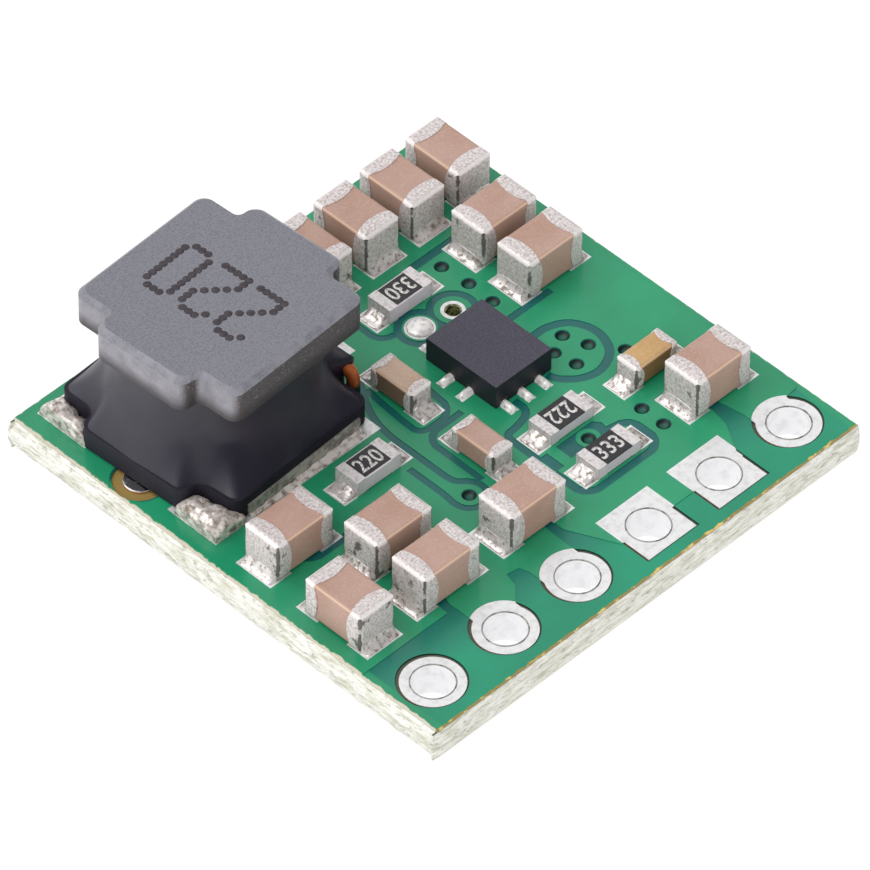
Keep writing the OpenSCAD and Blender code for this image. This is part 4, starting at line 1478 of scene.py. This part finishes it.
@dataclass
class Passives:
    """The capacitors and resistors, with plain value codes on the resistors.

    Attributes:
        large: number of large capacitors.
        small_ceramics: ceramic of each small capacitor.
        codes: plain code on each resistor, and the turn of its print in degrees.
        code_h: height of the printed figures.
        code_w: width of the whole code.
        ink_t: thickness of the ink.
        stroke: how far the strokes are thickened, as a share of the font's size.
        weld: distance at which the font's corners are joined, as a share of its size.
    """

    large: int = 12
    small_ceramics: tuple[FiredCeramic, ...] = (BEIGE_CERAMIC, BROWN_CERAMIC, TAN_CERAMIC)
    codes: tuple[tuple[str, float], ...] = (("330", 180.0), ("220", 0.0), ("222", 180.0), ("333", 0.0))
    code_h: float = 0.5 * MM
    code_w: float = 0.8 * MM
    ink_t: float = 0.004 * MM
    stroke: float = 0.015
    weld: float = 1e-5

    def build(self) -> None:
        """Dresses every capacitor and resistor and prints the resistors' codes."""
        for size, ceramics in (("large", (BROWN_CERAMIC,) * self.large), ("small", self.small_ceramics)):
            for number, ceramic in enumerate(ceramics, 1):
                dress(f"{size}_capacitor_{number}_ceramic", ceramic)
                dress(f"{size}_capacitor_{number}_ends", END_TIN)
        for number, (code, turn) in enumerate(self.codes, 1):
            dress(f"resistor_{number}_ceramic", ALUMINA)
            dress(f"resistor_{number}_overcoat", OVERCOAT)
            dress(f"resistor_{number}_ends", RESISTOR_TIN)
            self.print_code(number, code, turn)

    def print_code(self, number: int, code: str, turn: float) -> None:
        """Prints a plain code on a resistor's overcoat.

        Args:
            number: which resistor.
            code: the figures.
            turn: turn of the print in degrees.
        """
        curve = bpy.data.curves.new("code", "FONT")
        curve.body = code
        curve.align_x = "CENTER"
        curve.align_y = "CENTER"
        curve.extrude = 0.5
        curve.offset = self.stroke
        curve.resolution_u = 4
        line = bpy.data.objects.new("code", curve)
        mesh = bpy.data.meshes.new_from_object(line)
        bpy.data.objects.remove(line)
        bpy.data.curves.remove(curve)
        bm = bmesh.new()
        bm.from_mesh(mesh)
        bpy.data.meshes.remove(mesh)
        bmesh.ops.remove_doubles(bm, verts=bm.verts[:], dist=self.weld)
        low, high = solid_box([v.co for v in bm.verts])
        tall = self.code_h / (high.y - low.y)
        wide = self.code_w / (high.x - low.x)
        place = (Matrix.Translation(top_middle(f"resistor_{number}_overcoat"))
                 @ Matrix.Rotation(math.radians(turn), 4, "Z")
                 @ Matrix.Diagonal((wide, tall, self.ink_t, 1.0)) @ Matrix.Translation(-(low + high) / 2))
        bmesh.ops.transform(bm, matrix=place, verts=bm.verts[:])
        add_piece(f"resistor_{number}_code", bm, INK)


@dataclass
class Studio:
    """The floor, the lights and the camera.

    Attributes:
        azimuth: the camera's turn round the board, in degrees.
        elevation: the camera's height, in degrees.
        roll: the camera's roll, in degrees.
        distance: distance to the point that it looks at.
        focal: focal length, in pixels of the photograph's frame.
        frame_w: width of that frame, in pixels.
        aim: the point that it looks at.
        sensor: width of the camera's sensor, in millimetres.
        sight: nearest and farthest distance that the camera sees.
        floor_w: width of the floor.
        floor_gap: room between the floor and the board, so that their faces don't fall together.
        key: strength of the main light.
        key_from: direction from which the main light comes.
        fill: strength of the soft light from the front.
        fill_from: direction from which that light comes.
        lamp_soft: angular size of both lights, in degrees.
        window_from: direction of the studio's window wall, which lights matte surfaces.
        window: strength of that wall.
        shade: strength of the wall across from it.
        bright_from: direction of the bright side that glossy surfaces mirror.
        dim: strength of the rest of what they mirror.
    """

    azimuth: float = -45.1272
    elevation: float = 45.7771
    roll: float = 0.3145
    distance: float = 273.3464 * MM
    focal: float = 10771.02
    frame_w: float = 870.0
    aim: tuple[float, float, float] = (0.3778 * MM, 0.3265 * MM, 0.0)
    sensor: float = 36.0
    sight: tuple[float, float] = (0.01, 20.0)
    floor_w: float = 4.0
    floor_gap: float = 0.02 * MM
    key: float = 1.1
    key_from: tuple[float, float, float] = (-0.45, 0.3, 0.84)
    fill: float = 0.5
    fill_from: tuple[float, float, float] = (0.1, -0.86, 0.5)
    lamp_soft: float = 60.0
    window_from: tuple[float, float, float] = (-0.95, 0.15, 0.3)
    window: float = 1.17
    shade: float = 0.25
    bright_from: tuple[float, float, float] = (-0.2, 0.9, 0.35)
    dim: float = 0.15

    def build(self) -> None:
        """Sets up the floor, the lights and the camera."""
        self.floor()
        self.lamp("key_light", self.key, self.key_from, True)
        self.lamp("fill_light", self.fill, self.fill_from, False)
        self.surroundings()
        self.camera()
        bpy.context.scene.view_settings.view_transform = "Standard"

    def floor(self) -> None:
        """Lays the paper floor under the board."""
        bm = bmesh.new()
        bmesh.ops.create_grid(bm, x_segments=4, y_segments=4, size=self.floor_w / 2,
                              matrix=Matrix.Translation((0.0, 0.0, -self.floor_gap)))
        mesh = as_mesh("paper_floor", bm)
        mesh.materials.append(PAPER.material())
        place_object("paper_floor", mesh)

    def lamp(self, name: str, strength: float, start: tuple[float, float, float], mirrored: bool) -> None:
        """Adds a soft lamp.

        Args:
            name: the lamp's name.
            strength: its strength.
            start: direction from which its light comes.
            mirrored: whether glossy surfaces mirror it.
        """
        light = bpy.data.lights.new(name, "SUN")
        light.energy = strength
        light.angle = math.radians(self.lamp_soft)
        lamp = place_object(name, light)
        lamp.rotation_euler = Vector(start).to_track_quat("Z", "Y").to_euler()
        lamp.visible_glossy = mirrored

    def surroundings(self) -> None:
        """Lights the white room: matte surfaces see its window wall, and glossy ones its bright side."""
        world = bpy.data.worlds.new("white_studio")
        world.use_nodes = True
        bpy.context.scene.world = world
        net = Net(world.node_tree)
        path = net.add(Kind.LIGHT_PATH)
        ray = net.add(Kind.COORDINATES)["Generated"]
        across = net.add(Kind.DOT, {0: ray, 1: Vector(self.window_from).normalized()})
        sky = net.add(Kind.RANGE, {"Value": across, "From Min": -1.0, "To Min": self.shade,
                                   "To Max": self.window})
        toward = net.add(Kind.DOT, {0: ray, 1: Vector(self.bright_from).normalized()})
        wall = net.add(Kind.RANGE, {"Value": toward, "From Min": 0.2, "From Max": 0.6, "To Min": self.dim})
        lit = net.add(Kind.RANGE, {"Value": path["Is Glossy Ray"], "To Min": sky, "To Max": wall})
        seen = net.add(Kind.LARGER, {0: path["Is Camera Ray"], 1: path["Is Transmission Ray"]})
        strength = net.add(Kind.LARGER, {0: lit, 1: seen})
        net.feed(world.node_tree.nodes["Background"], {"Color": WHITE, "Strength": strength})

    def camera(self) -> None:
        """Sets the camera to the photograph's view."""
        az, el, roll = (math.radians(a) for a in (self.azimuth, self.elevation, self.roll))
        back = Vector((math.sin(az) * math.cos(el), -math.cos(az) * math.cos(el), math.sin(el)))
        right = Vector((math.cos(az), math.sin(az), 0.0))
        up = back.cross(right)
        x_axis = math.cos(roll) * right + math.sin(roll) * up
        y_axis = math.cos(roll) * up - math.sin(roll) * right
        lens = bpy.data.cameras.new("camera")
        lens.sensor_width = self.sensor
        lens.lens = self.focal / self.frame_w * self.sensor
        lens.clip_start, lens.clip_end = self.sight
        camera = place_object("camera", lens)
        camera.matrix_world = Matrix.Translation(Vector(self.aim) + back * self.distance) @ Matrix(
            (x_axis, y_axis, back)).transposed().to_4x4()
        bpy.context.scene.camera = camera


def main() -> None:
    """Builds the sub-assemblies in order."""
    logging.basicConfig(level=logging.INFO, format="%(name)s: %(message)s")
    Studio().build()
    Board().build()
    Inductor().build()
    Chip().build()
    Passives().build()
    Joints().build()


if __name__ == "__main__":
    main()
